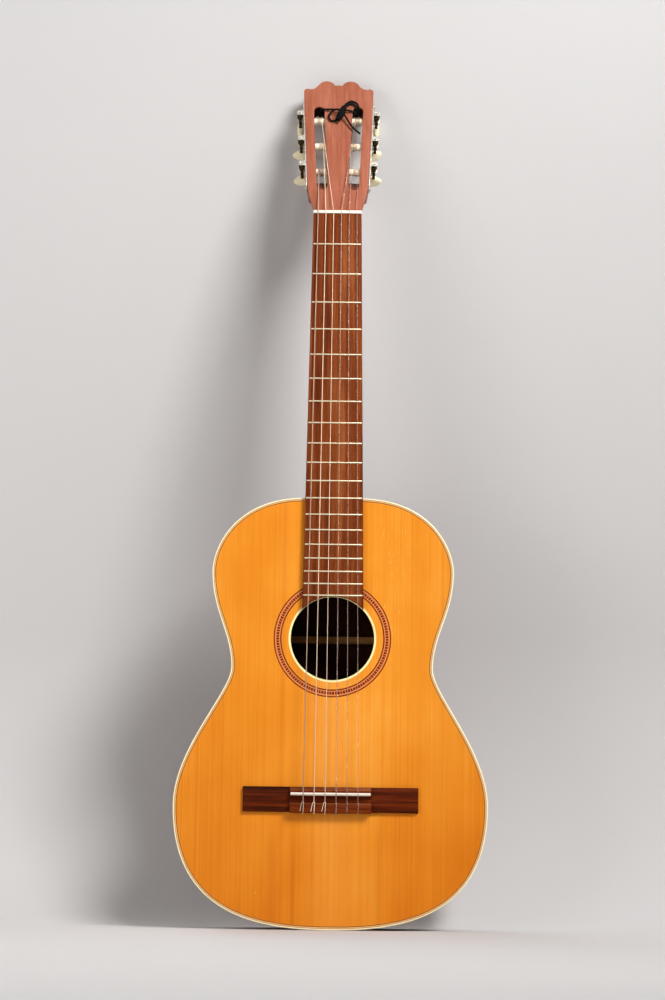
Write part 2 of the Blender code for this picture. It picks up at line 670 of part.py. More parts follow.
def side_frame(side):
    """The frame of one side of the head: X out along the roller axes, Z up along the side."""
    sign = SIDES[side]
    foot = HEAD_WIDTH_SHOULDER / 2 - SHOULDER_HEIGHT * math.tan(SIDE_TAPER)
    return HEAD @ Matrix.Translation((sign * foot, 0, 0)) @ Matrix.Rotation(sign * SIDE_TAPER, 4, 'Y')


def neck_section(half_width, depth, heel):
    """Half-round neck section as (x, depth) corners; heel goes from 0 on the shaft to 1 at the heel."""
    points = []
    fullness = SHAFT_FULLNESS + (HEEL_FULLNESS - SHAFT_FULLNESS) * heel
    for i in range(NECK_STEPS + 1):
        angle = math.pi * i / NECK_STEPS
        reach = math.sin(angle)
        narrowed = HEEL_BACK_SHARE + (1 - HEEL_BACK_SHARE) * (1 - reach) ** HEEL_HOLLOW
        waist = (1 - heel) + heel * narrowed
        bluntness = math.sqrt(max(0.0, 1 - reach ** fullness))
        sign = 1 if angle < math.pi / 2 else -1
        x = 0.0 if 2 * i == NECK_STEPS else sign * half_width * waist * bluntness
        points.append((x, depth * reach))
    return points


def neck_rings():
    """Neck sections from the heel's foot to inside the head."""
    rings = []
    foot = BODY_LENGTH + GAP
    sweep_end = foot + HEEL_CAP_LENGTH + HEEL_SWEEP
    rise = HEEL_DEPTH - NECK_DEPTH_HEEL
    heel_places = [(foot, HEEL_DEPTH)]
    for i in range(HEEL_STEPS + 1):
        angle = math.pi / 2 * i / HEEL_STEPS
        heel_places.append((sweep_end - HEEL_SWEEP * math.cos(angle), HEEL_DEPTH - rise * math.sin(angle)))
    for z, depth in heel_places:
        heel = (depth - NECK_DEPTH_HEEL) / rise
        section = neck_section(board_half_width(z), depth, heel)
        rings.append([(x, FACE_Y + d, z) for x, d in section])
    section = neck_section(board_half_width(NUT_Z), NECK_DEPTH_NUT, 0.0)
    rings.append([(x, FACE_Y + d, NUT_Z) for x, d in section])
    for height, inset, share in NECK_ROOTS:
        section = neck_section(BOARD_WIDTH_NUT / 2 - inset, HEAD_THICKNESS * share, 0.0)
        rings.append([HEAD @ Vector((x, WOOD_FACE + GAP + d, height)) for x, d in section])
    return rings


def head_outline(foot):
    """Outline of the head in (x, height), anticlockwise, from the foot at the given height."""
    neck = (BOARD_WIDTH_NUT / 2, foot)
    shoulder = (HEAD_WIDTH_SHOULDER / 2, SHOULDER_HEIGHT)
    third = (SHOULDER_HEIGHT - foot) / 3
    corner = (HEAD_WIDTH_TOP / 2, CORNER_HEIGHT)
    bump = (corner[0] - BUMP_INSET, SLOT_TOP + BUMP_RISE)
    dip = (corner[0] - DIP_INSET, SLOT_TOP + DIP_RISE)
    lobe = (LOBE_X, SLOT_TOP + LOBE_RISE)
    notch = (NOTCH_X, SLOT_TOP + NOTCH_RISE)
    between = (bump[0] - dip[0]) / 3
    flank = (dip[0] - lobe[0]) / 2
    fall = lobe[1] - notch[1]
    half = bezier(neck, (neck[0] + SHOULDER_FLARE, foot + third),
                  (shoulder[0] - SHOULDER_EASE, SHOULDER_HEIGHT - third), shoulder, 4)
    half += [shoulder]
    half += bezier(corner, (corner[0], corner[1] + CORNER_RADIUS), (bump[0] + CORNER_RADIUS, bump[1]), bump, 3)
    half += bezier(bump, (bump[0] - between, bump[1]), (dip[0] + between, dip[1]), dip, 2)
    half += bezier(dip, (dip[0] - flank, dip[1]), (lobe[0] + flank, lobe[1]), lobe, 6)
    half += bezier(lobe, ((lobe[0] + notch[0]) / 2, lobe[1]), (notch[0], notch[1] + fall / 2), notch, 4)
    half += [notch]
    return half + [(-x, z) for x, z in reversed(half)]


def slot_cutter(side):
    """The string slot of one side, as a tool that passes through veneer and head."""
    radius = SLOT_WIDTH / 2
    centre = -SIDES[side] * (CHEEK_WIDTH + radius)
    corners = []
    for end, middle in ((0, SLOT_TOP - radius), (1, SLOT_FOOT + radius)):
        for i in range(END_STEPS + 1):
            angle = math.pi * (end + i / END_STEPS)
            corners.append((centre + radius * math.cos(angle), middle + radius * math.sin(angle)))
    rings = [[(x, y, z) for x, z in corners] for y in (-HEAD_THICKNESS, 2 * HEAD_THICKNESS)]
    return moved(loft_mesh("slot_cutter_" + side, rings), side_frame(side))


def roller_height(index):
    """Height of a roller's axis up the head; roller 0 is the nearest to the nut."""
    return FIRST_ROLLER_HEIGHT + ROLLER_SPACING * index


def roller_bores(side):
    """Bores through the cheek and into the centre bar for the three rollers of a side."""
    sign = SIDES[side]
    inner_end = -sign * (CHEEK_WIDTH + SLOT_WIDTH + ROLLER_SEAT + GAP)
    radius = bore_corner_radius(ROLLER_RADIUS)
    bores = []
    for index in range(ROLLER_COUNT):
        bore = turned_x("roller_bore_cutter", [(inner_end, radius), (sign * CHEEK_WIDTH / 2, radius)])
        bores.append(moved(bore, Matrix.Translation((0, ROLLER_DEPTH, roller_height(index)))))
    return moved(join_meshes("roller_bores_" + side, bores), side_frame(side))


def build_neck(finishes):
    """Neck with heel, tenon and slotted head in one piece, and the head's veneer."""
    neck = add_object("neck", loft_mesh("neck", neck_rings(), round_piece=True), finishes["cedar_neck"])
    front = head_outline(0.0)
    back = [(x, max(z, RAMP_HEIGHT)) for x, z in front]
    depths = ((front, WOOD_FACE), (back, HEAD_THICKNESS))
    paddle = loft_mesh("head_paddle", [[(x, y, z) for x, z in outline] for outline, y in depths])
    combine(neck, paddle, 'UNION', HEAD)
    half = TENON_WIDTH / 2
    low = (-half, FACE_Y + TENON_TOP, BODY_LENGTH - TENON_LENGTH)
    high = (half, FACE_Y + TENON_FOOT, BODY_LENGTH + HEEL_CAP_LENGTH / 2)
    combine(neck, box_mesh("neck_tenon", low, high), 'UNION')
    veneer_foot = WOOD_FACE * math.tan(HEAD_TILT) + GAP
    outline = head_outline(veneer_foot)
    mesh = loft_mesh("head_veneer", [[(x, y, z) for x, z in outline] for y in (0.0, VENEER_THICKNESS)])
    veneer = add_object("head_veneer", mesh, finishes["veneer"], HEAD)
    for side in SIDES:
        combine(neck, slot_cutter(side), 'DIFFERENCE')
        combine(neck, roller_bores(side), 'DIFFERENCE')
        combine(veneer, slot_cutter(side), 'DIFFERENCE')


def fret_z(number):
    """Height of a fret, by the rule of equal semitones."""
    return NUT_Z - SCALE_LENGTH * (1 - 2 ** (-number / 12))


def build_fingerboard(finishes):
    """Fingerboard with its frets, cut to the soundhole's arc, and the nut."""
    top_end = NUT_Z - NUT_ADVANCE - GAP
    low_end = SOUNDHOLE_HEIGHT
    surface = GAP + BOARD_THICKNESS
    profile = [(top_end, GAP), (top_end, surface)]
    for number in range(1, FRET_COUNT + 1):
        z = fret_z(number)
        profile += [(z + FRET_WIDTH / 2, surface), (z + FRET_WIDTH / 4, surface + FRET_HEIGHT),
                    (z - FRET_WIDTH / 4, surface + FRET_HEIGHT), (z - FRET_WIDTH / 2, surface)]
    profile += [(low_end, surface), (low_end, GAP)]
    rings = [[(sign * board_half_width(z), FACE_Y - h, z) for z, h in profile] for sign in (-1, 1)]
    board = add_object("fingerboard", loft_mesh("fingerboard", rings), finishes["rosewood"])
    combine(board, disc("board_arc_cutter", BOARD_ARC_RADIUS, -2 * surface, GAP / 2), 'DIFFERENCE')
    front = NUT_Z - NUT_ADVANCE
    shape = [(front, GAP), (front, NUT_TOP), (front + NUT_CREST, NUT_TOP),
             (HEAD_Z, NUT_TOP - NUT_FALL), (HEAD_Z, GAP)]
    rings = [[(x, FACE_Y - h, z) for z, h in shape] for x in (-BOARD_WIDTH_NUT / 2, BOARD_WIDTH_NUT / 2)]
    add_object("nut", loft_mesh("nut", rings), finishes["bone"])


def build_bridge(finishes):
    """Bridge with its saddle slot, trough and drilled tie block, and the saddle."""
    top = BRIDGE_TOP_EDGE
    foot = -BRIDGE_FOOT_EDGE
    slot = SADDLE_THICKNESS / 2 + GAP
    tie = foot + TIE_BLOCK_WIDTH
    lip = -slot - SADDLE_LIP_WIDTH
    shape = [(top, GAP), (top, BRIDGE_WING_HEIGHT), (top - DECK_SLOPE, BRIDGE_DECK_HEIGHT - DECK_SHOULDER),
             (top - DECK_SLOPE - DECK_ROUND, BRIDGE_DECK_HEIGHT), (slot, BRIDGE_DECK_HEIGHT),
             (slot, SADDLE_SLOT_FLOOR), (-slot, SADDLE_SLOT_FLOOR), (-slot, BRIDGE_DECK_HEIGHT - SADDLE_LIP_DROP),
             (lip, BRIDGE_DECK_HEIGHT - SADDLE_LIP_DROP), (lip - TROUGH_SLOPE, TROUGH_FLOOR),
             (tie, TROUGH_FLOOR), (tie, TIE_BLOCK_HEIGHT - TIE_BLOCK_EDGE), (tie - TIE_BLOCK_EDGE, TIE_BLOCK_HEIGHT),
             (foot + TIE_BLOCK_EDGE, TIE_BLOCK_HEIGHT), (foot, TIE_BLOCK_HEIGHT - TIE_BLOCK_EDGE), (foot, GAP)]
    half = BRIDGE_CENTRE_LENGTH / 2
    rings = [[(x, FACE_Y - h, SADDLE_Z + z) for z, h in shape] for x in (-half, half)]
    bridge = add_object("bridge", loft_mesh("bridge", rings), finishes["rosewood"])
    edge = BRIDGE_EDGE
    wing = [(top, GAP), (top, BRIDGE_WING_HEIGHT - edge), (top - edge, BRIDGE_WING_HEIGHT),
            (foot + edge, BRIDGE_WING_HEIGHT), (foot, BRIDGE_WING_HEIGHT - edge), (foot, GAP)]
    half = BRIDGE_LENGTH / 2
    rings = [[(x, FACE_Y - h, SADDLE_Z + z) for z, h in wing] for x in (-half, half)]
    combine(bridge, loft_mesh("bridge_wings", rings), 'UNION')
    drills = []
    for index in range(len(STRING_DIAMETERS)):
        rings = []
        for z in (SADDLE_Z + foot - CUTTER_MARGIN, SADDLE_Z + tie + SADDLE_LIP_WIDTH):
            rings.append([(string_x(index, STRING_SPREAD_SADDLE) + a, FACE_Y - STRING_HOLE_HEIGHT + b, z)
                          for a, b in circle(STRING_HOLE_RADIUS, 8)])
        drills.append(loft_mesh("string_drill", rings))
    combine(bridge, join_meshes("string_drills", drills), 'DIFFERENCE')
    half = SADDLE_THICKNESS / 2
    floor = SADDLE_SLOT_FLOOR + GAP
    shape = [(half, floor), (half, SADDLE_HEIGHT - SADDLE_EASE), (half - SADDLE_EASE, SADDLE_HEIGHT),
             (0.0, SADDLE_HEIGHT), (-half, SADDLE_HEIGHT - SADDLE_FALL), (-half, floor)]
    rings = [[(x, FACE_Y - h, SADDLE_Z + z) for z, h in shape] for x in (-SADDLE_LENGTH / 2, SADDLE_LENGTH / 2)]
    add_object("saddle", loft_mesh("saddle", rings), finishes["bone"])


def string_x(index, spread):
    """Place of a string across the guitar."""
    return spread * (index / (len(STRING_DIAMETERS) - 1) - 0.5)


def plate_mesh(side):
    """Base of a tuner plate, lying on the side of the head."""
    sign = SIDES[side]
    low_end = roller_height(0) - PLATE_OVERHANG
    high_end = roller_height(ROLLER_COUNT - 1) + PLATE_OVERHANG
    radius = PLATE_WIDTH / 2
    corners = []
    for end, middle in ((0, high_end - radius), (1, low_end + radius)):
        for i in range(END_STEPS + 1):
            angle = math.pi * (end + i / END_STEPS)
            corners.append((ROLLER_DEPTH + radius * math.cos(angle), middle + radius * math.sin(angle)))
    faces_x = (sign * GAP, sign * (GAP + PLATE_THICKNESS))
    return loft_mesh("tuner_plate_" + side, [[(x, y, z) for y, z in corners] for x in faces_x])


def shaft_bore(depth_from, depth_to):
    """A tool along Y for the worm shaft's bearing holes."""
    radius = bore_corner_radius(SHAFT_RADIUS)
    rings = [[(a, y, b) for a, b in circle(radius, ROUND_SIDES)] for y in (depth_from, depth_to)]
    return loft_mesh("shaft_bore", rings)


def build_tuner_plate(side, finishes):
    """Plate with bearing lugs for the three worm shafts and holes for the three rollers."""
    sign = SIDES[side]
    frame = side_frame(side)
    plate = add_object("tuner_plate_" + side, plate_mesh(side), finishes["nickel"], frame)
    lug_near = ROLLER_DEPTH - WORM_LENGTH / 2 - GAP
    lug_far = ROLLER_DEPTH + WORM_LENGTH / 2 + GAP
    lugs = []
    holes = []
    for index in range(ROLLER_COUNT):
        height = roller_height(index) + WORM_RISE
        for y in (lug_near - LUG_THICKNESS, lug_far):
            ends = sorted((sign * (GAP + PLATE_THICKNESS / 2), sign * (GEAR_OFFSET + SHAFT_RADIUS + LUG_WALL)))
            lugs.append(box_mesh("lug", (ends[0], y, height - LUG_HEIGHT / 2),
                                 (ends[1], y + LUG_THICKNESS, height + LUG_HEIGHT / 2)))
        bore = shaft_bore(lug_near - 2 * LUG_THICKNESS, lug_far + 2 * LUG_THICKNESS)
        holes.append(moved(bore, Matrix.Translation((sign * GEAR_OFFSET, 0, height))))
        radius = bore_corner_radius(ROLLER_STUB_RADIUS)
        hole = turned_x("stub_hole", [(-sign * PLATE_THICKNESS, radius), (sign * 3 * PLATE_THICKNESS, radius)])
        holes.append(moved(hole, Matrix.Translation((0, ROLLER_DEPTH, roller_height(index)))))
    combine(plate, join_meshes("tuner_lugs_" + side, lugs), 'UNION', frame)
    combine(plate, join_meshes("tuner_holes_" + side, holes), 'DIFFERENCE', frame)


def gear_mesh():
    """Worm wheel about X: slanted teeth, a bore, and a tooth gap facing +Z."""
    tip = GEAR_PITCH_RADIUS + GEAR_ADDENDUM
    root = GEAR_PITCH_RADIUS - GEAR_DEDENDUM
    tip_half = (TOOTH_HALF - GEAR_ADDENDUM * FLANK_SLOPE) / tip
    root_half = (TOOTH_HALF + GEAR_DEDENDUM * FLANK_SLOPE) / root
    lead = TOOTH_PITCH / (2 * math.pi * WORM_PITCH_RADIUS)
    bore = bore_corner_radius(ROLLER_STUB_RADIUS, GEAR_TEETH)
    step = 2 * math.pi / GEAR_TEETH
    points = []
    for x in (-GEAR_FACE_WIDTH / 2, GEAR_FACE_WIDTH / 2):
        twist = lead * x / GEAR_PITCH_RADIUS
        for i in range(GEAR_TEETH):
            middle = (i + 0.5) * step + twist
            for radius, angle in ((root, -root_half), (tip, -tip_half), (tip, tip_half), (root, root_half)):
                points.append(toothed(x, radius, middle + angle))
        for i in range(GEAR_TEETH):
            points.append(toothed(x, bore, i * step))
    half = 5 * GEAR_TEETH
    faces = []
    for i in range(GEAR_TEETH):
        after = (i + 1) % GEAR_TEETH
        edge = [4 * i, 4 * i + 1, 4 * i + 2, 4 * i + 3, 4 * after]
        inner = [4 * GEAR_TEETH + after, 4 * GEAR_TEETH + i]
        for side in (0, half):
            previous = (i - 1) % GEAR_TEETH
            faces.append(tuple(side + k for k in [4 * i, 4 * i + 1, 4 * i + 2, 4 * i + 3, inner[0], inner[1]]))
            faces.append(tuple(side + k for k in [4 * previous + 3, 4 * i, inner[1]]))
        for a, b in zip(edge, edge[1:]):
            faces.append((a, b, half + b, half + a))
        faces.append((inner[0], inner[1], half + inner[1], half + inner[0]))
    return closed_mesh("gear", points, faces)


def toothed(x, radius, angle):
    """A point of the gear; angle 0 is +Z and grows towards -Y, as a turn about +X does."""
    return (x, -radius * math.sin(angle), radius * math.cos(angle))


def worm_mesh():
    """Worm and shaft in one piece along Y, with a single right-handed thread.

    The thread's middle passes y = 0 on the side that faces the gear, at -Z.
    """
    crest = WORM_PITCH_RADIUS + WORM_ADDENDUM
    root = WORM_PITCH_RADIUS - WORM_DEDENDUM
    crest_half = TOOTH_HALF - WORM_ADDENDUM * FLANK_SLOPE
    thread = ((-THREAD_ROOT_HALF, root), (-crest_half, crest), (crest_half, crest), (THREAD_ROOT_HALF, root))
    steps = WORM_STEPS * WORM_TURNS
    turn = 2 * math.pi / WORM_STEPS

    def place(y, radius, step):
        angle = math.pi / 2 + (step - steps / 2) * turn
        return (radius * math.cos(angle), y, -radius * math.sin(angle))

    points = []
    for step in range(steps + 1):
        middle = (step - steps / 2) / WORM_STEPS * TOOTH_PITCH
        points += [place(middle + y, radius, step) for y, radius in thread]
    faces = []
    for step in range(steps):
        for k in range(3):
            faces.append((4 * step + k, 4 * step + k + 1, 4 * step + k + 5, 4 * step + k + 4))
    for step in range(steps - WORM_STEPS):
        low = 4 * step + 3
        high = 4 * (step + WORM_STEPS)
        faces.append((low, high, high + 4, low + 4))
    front = shaft_rings(points, faces, place, -1, root)
    back = shaft_rings(points, faces, place, 1, root)
    last = 4 * steps
    faces.append((0, 1, 2, 3))
    faces.append((last, last + 1, last + 2, last + 3))
    for k in range(WORM_STEPS):
        after = (k + 1) % WORM_STEPS
        low = [front[k], front[after], 4 * (k + 1), 4 * k]
        if k == WORM_STEPS - 1:
            low = [front[k], front[0], 0, 3, 4 * WORM_STEPS, 4 * k]
        faces.append(tuple(low))
        step = steps - WORM_STEPS + k
        high = [4 * step + 3, 4 * step + 7, back[after], back[k]]
        if k == 0:
            high = [4 * step + 3, 4 * step + 7, back[1], back[0], last + 3, last]
        faces.append(tuple(high))
    return closed_mesh("worm_shaft", points, faces, round_piece=True)


def shaft_rings(points, faces, place, direction, root):
    """Add one end of the worm's shaft and return the ring that meets the thread."""
    half = WORM_LENGTH / 2
    lug = half + GAP + LUG_THICKNESS + GAP
    if direction < 0:
        profile = [(-half, root), (-half, SHAFT_RADIUS), (-lug - SHAFT_TIP, SHAFT_RADIUS)]
    else:
        collar = lug + LUG_THICKNESS
        end = BUTTON_START + BUTTON_BORE_DEPTH - ROLLER_DEPTH - GAP
        profile = [(half, root), (half, SHAFT_RADIUS), (lug, SHAFT_RADIUS), (lug, SHAFT_COLLAR_RADIUS),
                   (collar, SHAFT_COLLAR_RADIUS), (collar, SHAFT_RADIUS), (end, SHAFT_RADIUS)]
    rings = []
    for y, radius in profile:
        rings.append(list(range(len(points), len(points) + WORM_STEPS)))
        points += [place(y, radius, step) for step in range(WORM_STEPS)]
    for here, after in zip(rings, rings[1:]):
        for k in range(WORM_STEPS):
            m = (k + 1) % WORM_STEPS
            faces.append((here[k], here[m], after[m], after[k]))
    faces.append(tuple(rings[-1]))
    return rings[0]


def button_mesh():
    """Oval tuner button along Y with a blind bore for its shaft, starting at y = 0."""
    bore = bore_corner_radius(SHAFT_RADIUS)
    rings = []
    for y in (BUTTON_BORE_DEPTH, 0.0):
        rings.append([(a, y, b) for a, b in circle(bore, ROUND_SIDES)])
    for along, wide, thick in BUTTON_PROFILE:
        rings.append([(a * wide * BUTTON_HALF_WIDTH, along * BUTTON_LENGTH, b * thick * BUTTON_HALF_THICKNESS)
                      for a, b in circle(1.0, ROUND_SIDES)])
    return loft_mesh("button", rings, round_piece=True)


def build_machines(side, finishes, shared):
    """Three tuners of one side: roller and gear turn together, worm shaft and button turn together."""
    sign = SIDES[side]
    frame = side_frame(side)
    inner_end = -sign * (CHEEK_WIDTH + SLOT_WIDTH + ROLLER_SEAT)
    stub_end = sign * (GEAR_OFFSET + GEAR_FACE_WIDTH / 2 + 2 * GAP)
    for index in range(ROLLER_COUNT):
        number = index + 1
        axle = Matrix.Translation((0, ROLLER_DEPTH, roller_height(index)))
        profile = [(inner_end, ROLLER_RADIUS), (-sign * GAP, ROLLER_RADIUS),
                   (-sign * GAP, ROLLER_STUB_RADIUS), (stub_end, ROLLER_STUB_RADIUS)]
        add_object("roller_%s_%d" % (side, number), turned_x("roller", profile), finishes["cream"], frame @ axle)
        add_object("gear_%s_%d" % (side, number), shared["gear"], finishes["brass"],
                   frame @ axle @ Matrix.Translation((sign * GEAR_OFFSET, 0, 0)))
        shaft = frame @ Matrix.Translation((sign * GEAR_OFFSET, ROLLER_DEPTH, roller_height(index) + WORM_RISE))
        add_object("worm_shaft_%s_%d" % (side, number), shared["worm"], finishes["nickel"], shaft)
        turn = Matrix.Rotation(math.radians(BUTTON_TURNS[side][index]), 4, 'Y')
        seat = Matrix.Translation((0, BUTTON_START - ROLLER_DEPTH, 0))
        add_object("button_%s_%d" % (side, number), shared["button"], finishes["cream"], shaft @ turn @ seat)


def tube(name, route, diameter, finish, resolution):
    """A round tube through the given points, with capped ends."""
    curve = bpy.data.curves.new(name, 'CURVE')
    curve.dimensions = '3D'
    curve.bevel_depth = diameter / 2
    curve.bevel_resolution = resolution
    curve.use_fill_caps = True
    spline = curve.splines.new('POLY')
    spline.points.add(len(route) - 1)
    for point, place in zip(spline.points, route):
        point.co = (*place, 1.0)
    curve.materials.append(finish)
    made = bpy.data.objects.new(name, curve)
    bpy.context.scene.collection.objects.link(made)


def least_gap(route, diameter):
    """Least gap of a tube to itself, measured between points over three diameters apart on it."""
    travelled = [0.0]
    for before, after in zip(route, route[1:]):
        travelled.append(travelled[-1] + (Vector(after) - Vector(before)).length)
    least = math.inf
    for i, here in enumerate(route):
        for j in range(i + 1, len(route)):
            if travelled[j] - travelled[i] > 3 * diameter:
                least = min(least, (Vector(here) - Vector(route[j])).length)
    return least - diameter


def tie_route(index, radius):
    """The string's end at the tie block: out of the trough, through the block and back over it."""
    x = string_x(index, STRING_SPREAD_SADDLE)
    foot = SADDLE_Z - BRIDGE_FOOT_EDGE
    tie = foot + TIE_BLOCK_WIDTH
    over = TIE_BLOCK_HEIGHT + GAP + radius
    hole = STRING_HOLE_HEIGHT
    behind = foot - TIE_STAND_OFF - radius
    route = []
    side = x
    if index < WOUND_STRINGS:
        side = x + TIE_LOOP_HALF
        apex = tie + TIE_APEX_REACH
        route += [(x - TIE_TAIL_HALF, over, foot + TIE_LEG_INSET), (x - TIE_LOOP_HALF, over, tie - TIE_LEG_INSET),
                  (x - TIE_LOOP_HALF, over, (tie + apex) / 2), (x, over, apex),
                  (x + TIE_LOOP_HALF, over, (tie + apex) / 2)]
    else:
        route += [(x, over, tie + TIE_LEG_INSET)]
    route += [(side, over, tie - TIE_LEG_INSET), ((side + x) / 2, over, foot + TIE_LEG_INSET),
              (x, over - GAP, foot), (x, over - TIE_BEND, behind), (x, hole + TIE_BEND, behind),
              (x, hole + GAP, foot - GAP), (x, hole, foot + TIE_LEG_INSET), (x, hole, tie - GAP)]
    return [(px, FACE_Y - height, z) for px, height, z in route]


def winding_route(index, radius, nut_point):
    """The string from the nut onto its roller, wound over its front and up."""
    side = "bass" if index < WOUND_STRINGS else "treble"
    sign = SIDES[side]
    rank = index if side == "bass" else len(STRING_DIAMETERS) - 1 - index
    frame = side_frame(side) @ Matrix.Translation((0, ROLLER_DEPTH, roller_height(rank)))
    start = frame.inverted() @ Vector(nut_point)
    reach = (ROLLER_RADIUS + GAP + radius) / math.cos(math.pi / WINDING_POINTS)
    first = WINDING_STARTS[rank]
    away = -1 if first > 0 else 1
    pitch = 2 * radius + WINDING_CLEARANCE
    centre = CHEEK_WIDTH + SLOT_WIDTH / 2
    angle = 0.0
    for _ in range(4):
        angle = math.atan2(-reach * math.cos(angle) - start[1], reach * math.sin(angle) - start[2])
    route = []
    for step in range(WINDING_TURNS * WINDING_POINTS + 1):
        turn = angle + 2 * math.pi * step / WINDING_POINTS
        across = sign * (-centre + first + away * pitch * step / WINDING_POINTS)
        route.append(frame @ Vector((across, -reach * math.cos(turn), reach * math.sin(turn))))
    route.append(route[-1] + (route[-1] - route[-2]).normalized() * 2 * radius)
    return [tuple(p) for p in route]


def build_strings(finishes):
    """Six strings, each one tube from the tie block over saddle and nut to its roller."""
    for index, diameter in enumerate(STRING_DIAMETERS):
        radius = diameter / 2
        saddle_x = string_x(index, STRING_SPREAD_SADDLE)
        nut_x = string_x(index, STRING_SPREAD_NUT)
        at_saddle = (saddle_x, FACE_Y - SADDLE_HEIGHT - GAP - radius, SADDLE_Z)
        at_nut = (nut_x, FACE_Y - NUT_TOP - GAP - radius, NUT_Z - NUT_ADVANCE + NUT_CREST)
        route = tie_route(index, radius) + [at_saddle, at_nut] + winding_route(index, radius, at_nut)
        finish = finishes["wound_wire"] if index < WOUND_STRINGS else finishes["nylon"]
        tube("string_%d" % (len(STRING_DIAMETERS) - index), route, diameter, finish, 1)
        print("string", len(STRING_DIAMETERS) - index, "least gap to itself",
              round(least_gap(route, diameter) * 1000, 2), "mm")


def smooth_route(points, steps):
    """A smooth curve through the given points."""
    route = []
    count = len(points)
    for i in range(count - 1):
        before = Vector(points[max(i - 1, 0)])
        here = Vector(points[i])
        after = Vector(points[i + 1])
        beyond = Vector(points[min(i + 2, count - 1)])
        for k in range(steps):
            t = k / steps
            route.append(0.5 * (2 * here + (after - before) * t
                                + (2 * before - 5 * here + 4 * after - beyond) * t * t
                                + (3 * here - before - 3 * after + beyond) * t ** 3))
    route.append(Vector(points[-1]))
    return route


def build_lace(finishes):
    """The lace that is tied round the head's centre bar."""
    route = [HEAD @ point for point in smooth_route(LACE_ROUTE, LACE_STEPS)]
    tube("lace", route, LACE_DIAMETER, finishes["black_cord"], 2)
    print("lace least gap to itself", round(least_gap(route, LACE_DIAMETER) * 1000, 2), "mm")


def main():
    """Build the whole guitar."""
    for old in list(bpy.data.objects):
        bpy.data.objects.remove(old, do_unlink=True)
    finishes = make_materials()
    build_plates(finishes)
    build_hole_rings(finishes)
    build_rims(finishes)
    build_blocks(finishes)
    build_bars(finishes)
    build_neck(finishes)
    build_fingerboard(finishes)
    build_bridge(finishes)
    shared = {"gear": gear_mesh(), "worm": worm_mesh(), "button": button_mesh()}
    for side in SIDES:
        build_tuner_plate(side, finishes)
        build_machines(side, finishes, shared)
    build_strings(finishes)
    build_lace(finishes)


main()
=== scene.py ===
"""Looks of the classical guitar: every finish and fine shape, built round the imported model.

Metres, +Z up along the neck, the front of the guitar faces -Y and the bass side is -X.
"""

import math
from contextlib import contextmanager

import bmesh
import bpy
from mathutils import Matrix, Vector


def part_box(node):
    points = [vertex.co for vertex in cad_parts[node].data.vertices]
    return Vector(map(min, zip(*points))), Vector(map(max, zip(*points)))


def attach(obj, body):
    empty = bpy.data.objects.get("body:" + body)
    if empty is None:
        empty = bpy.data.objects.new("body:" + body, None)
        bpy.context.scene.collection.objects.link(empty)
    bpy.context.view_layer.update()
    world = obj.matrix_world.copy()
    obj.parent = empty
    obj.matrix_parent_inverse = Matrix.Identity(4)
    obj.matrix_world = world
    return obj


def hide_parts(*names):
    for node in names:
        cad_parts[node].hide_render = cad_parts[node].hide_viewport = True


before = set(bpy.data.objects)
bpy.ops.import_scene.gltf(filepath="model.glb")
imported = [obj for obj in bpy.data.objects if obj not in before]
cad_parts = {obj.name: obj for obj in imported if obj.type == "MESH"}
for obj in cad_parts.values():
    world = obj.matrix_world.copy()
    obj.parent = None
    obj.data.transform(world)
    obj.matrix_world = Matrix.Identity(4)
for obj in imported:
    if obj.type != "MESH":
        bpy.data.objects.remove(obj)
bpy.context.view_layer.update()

# The photograph's frame and where its camera stood
FRAME_LONG_SIDE = 1000
SENSOR_LONG_SIDE = 36.0
FOCAL_PIXELS = 2378.9
CAMERA_PLACE = (-0.01177, -2.64516, 0.07564)
CAMERA_PITCH = math.radians(8.5938)
CAMERA_YAW = math.radians(0.2203)
CAMERA_ROLL = math.radians(-0.6990)

# Body outline from the tail up as (half width, height), and how far its curves reach below and above
BODY_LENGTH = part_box("top_binding")[1].z
LOWER_BOUT = (0.1714, 0.1335)
WAIST = (0.11055, 0.2826)
UPPER_BOUT = (0.1332, 0.3892)
NECK_END = (0.0300, BODY_LENGTH)
TAIL_ROUND = 0.37
LOWER_ROUND = (0.95, 0.404)
WAIST_ROUND = (0.178, 0.357)
UPPER_ROUND = (0.423, 0.314)
SHOULDER_ROUND = 0.773
OUTLINE_STEPS = (36, 24, 20, 32)

# Body box
FACE_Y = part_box("soundboard")[0].y
BODY_DEPTH_TAIL = 0.095
BODY_DEPTH_NECK = 0.090
TOP_THICKNESS = 0.0028
BACK_THICKNESS = 0.0028
SIDE_THICKNESS = 0.0022
SIDE_JOINT = 0.0008
BINDING_DEPTH = 0.006
SEAM = 0.0003

# Layers of the body's edges, as insets from the outline
BINDING_ROUND = 0.0009
ROUND_STEPS = 5
OUTER_LAYER = 0.0015
TAN_LAYER = 0.0020
CREAM_LAYER = 0.0033
DARK_LAYER = 0.0040
BACK_DARK_LAYER = CREAM_LAYER - TAN_LAYER + OUTER_LAYER
LAYER_DEPTH = 0.0020
INWARD = -0.5

# Soundhole and rosette
HOLE_HEIGHT = 0.3155
HOLE_RADIUS = 0.0458
HOLE_BINDING_RADIUS = 0.0481
HOLE_EASE = 0.0005
ROSETTE_INNER = 0.0559
ROSETTE_INNER_LINE = 0.0573
ROSETTE_OUTER_LINE = 0.0632
ROSETTE_OUTER = 0.0645
DASH_INNER = 0.0585
DASH_OUTER = 0.0615
DASH_COUNT = 127
DASH_HALF_WIDTH = 0.00115
DASH_NARROW = 0.8
DASH_FLARE = 1.05
DASH_RISE = 0.00003
ROUND_SIDES = 160

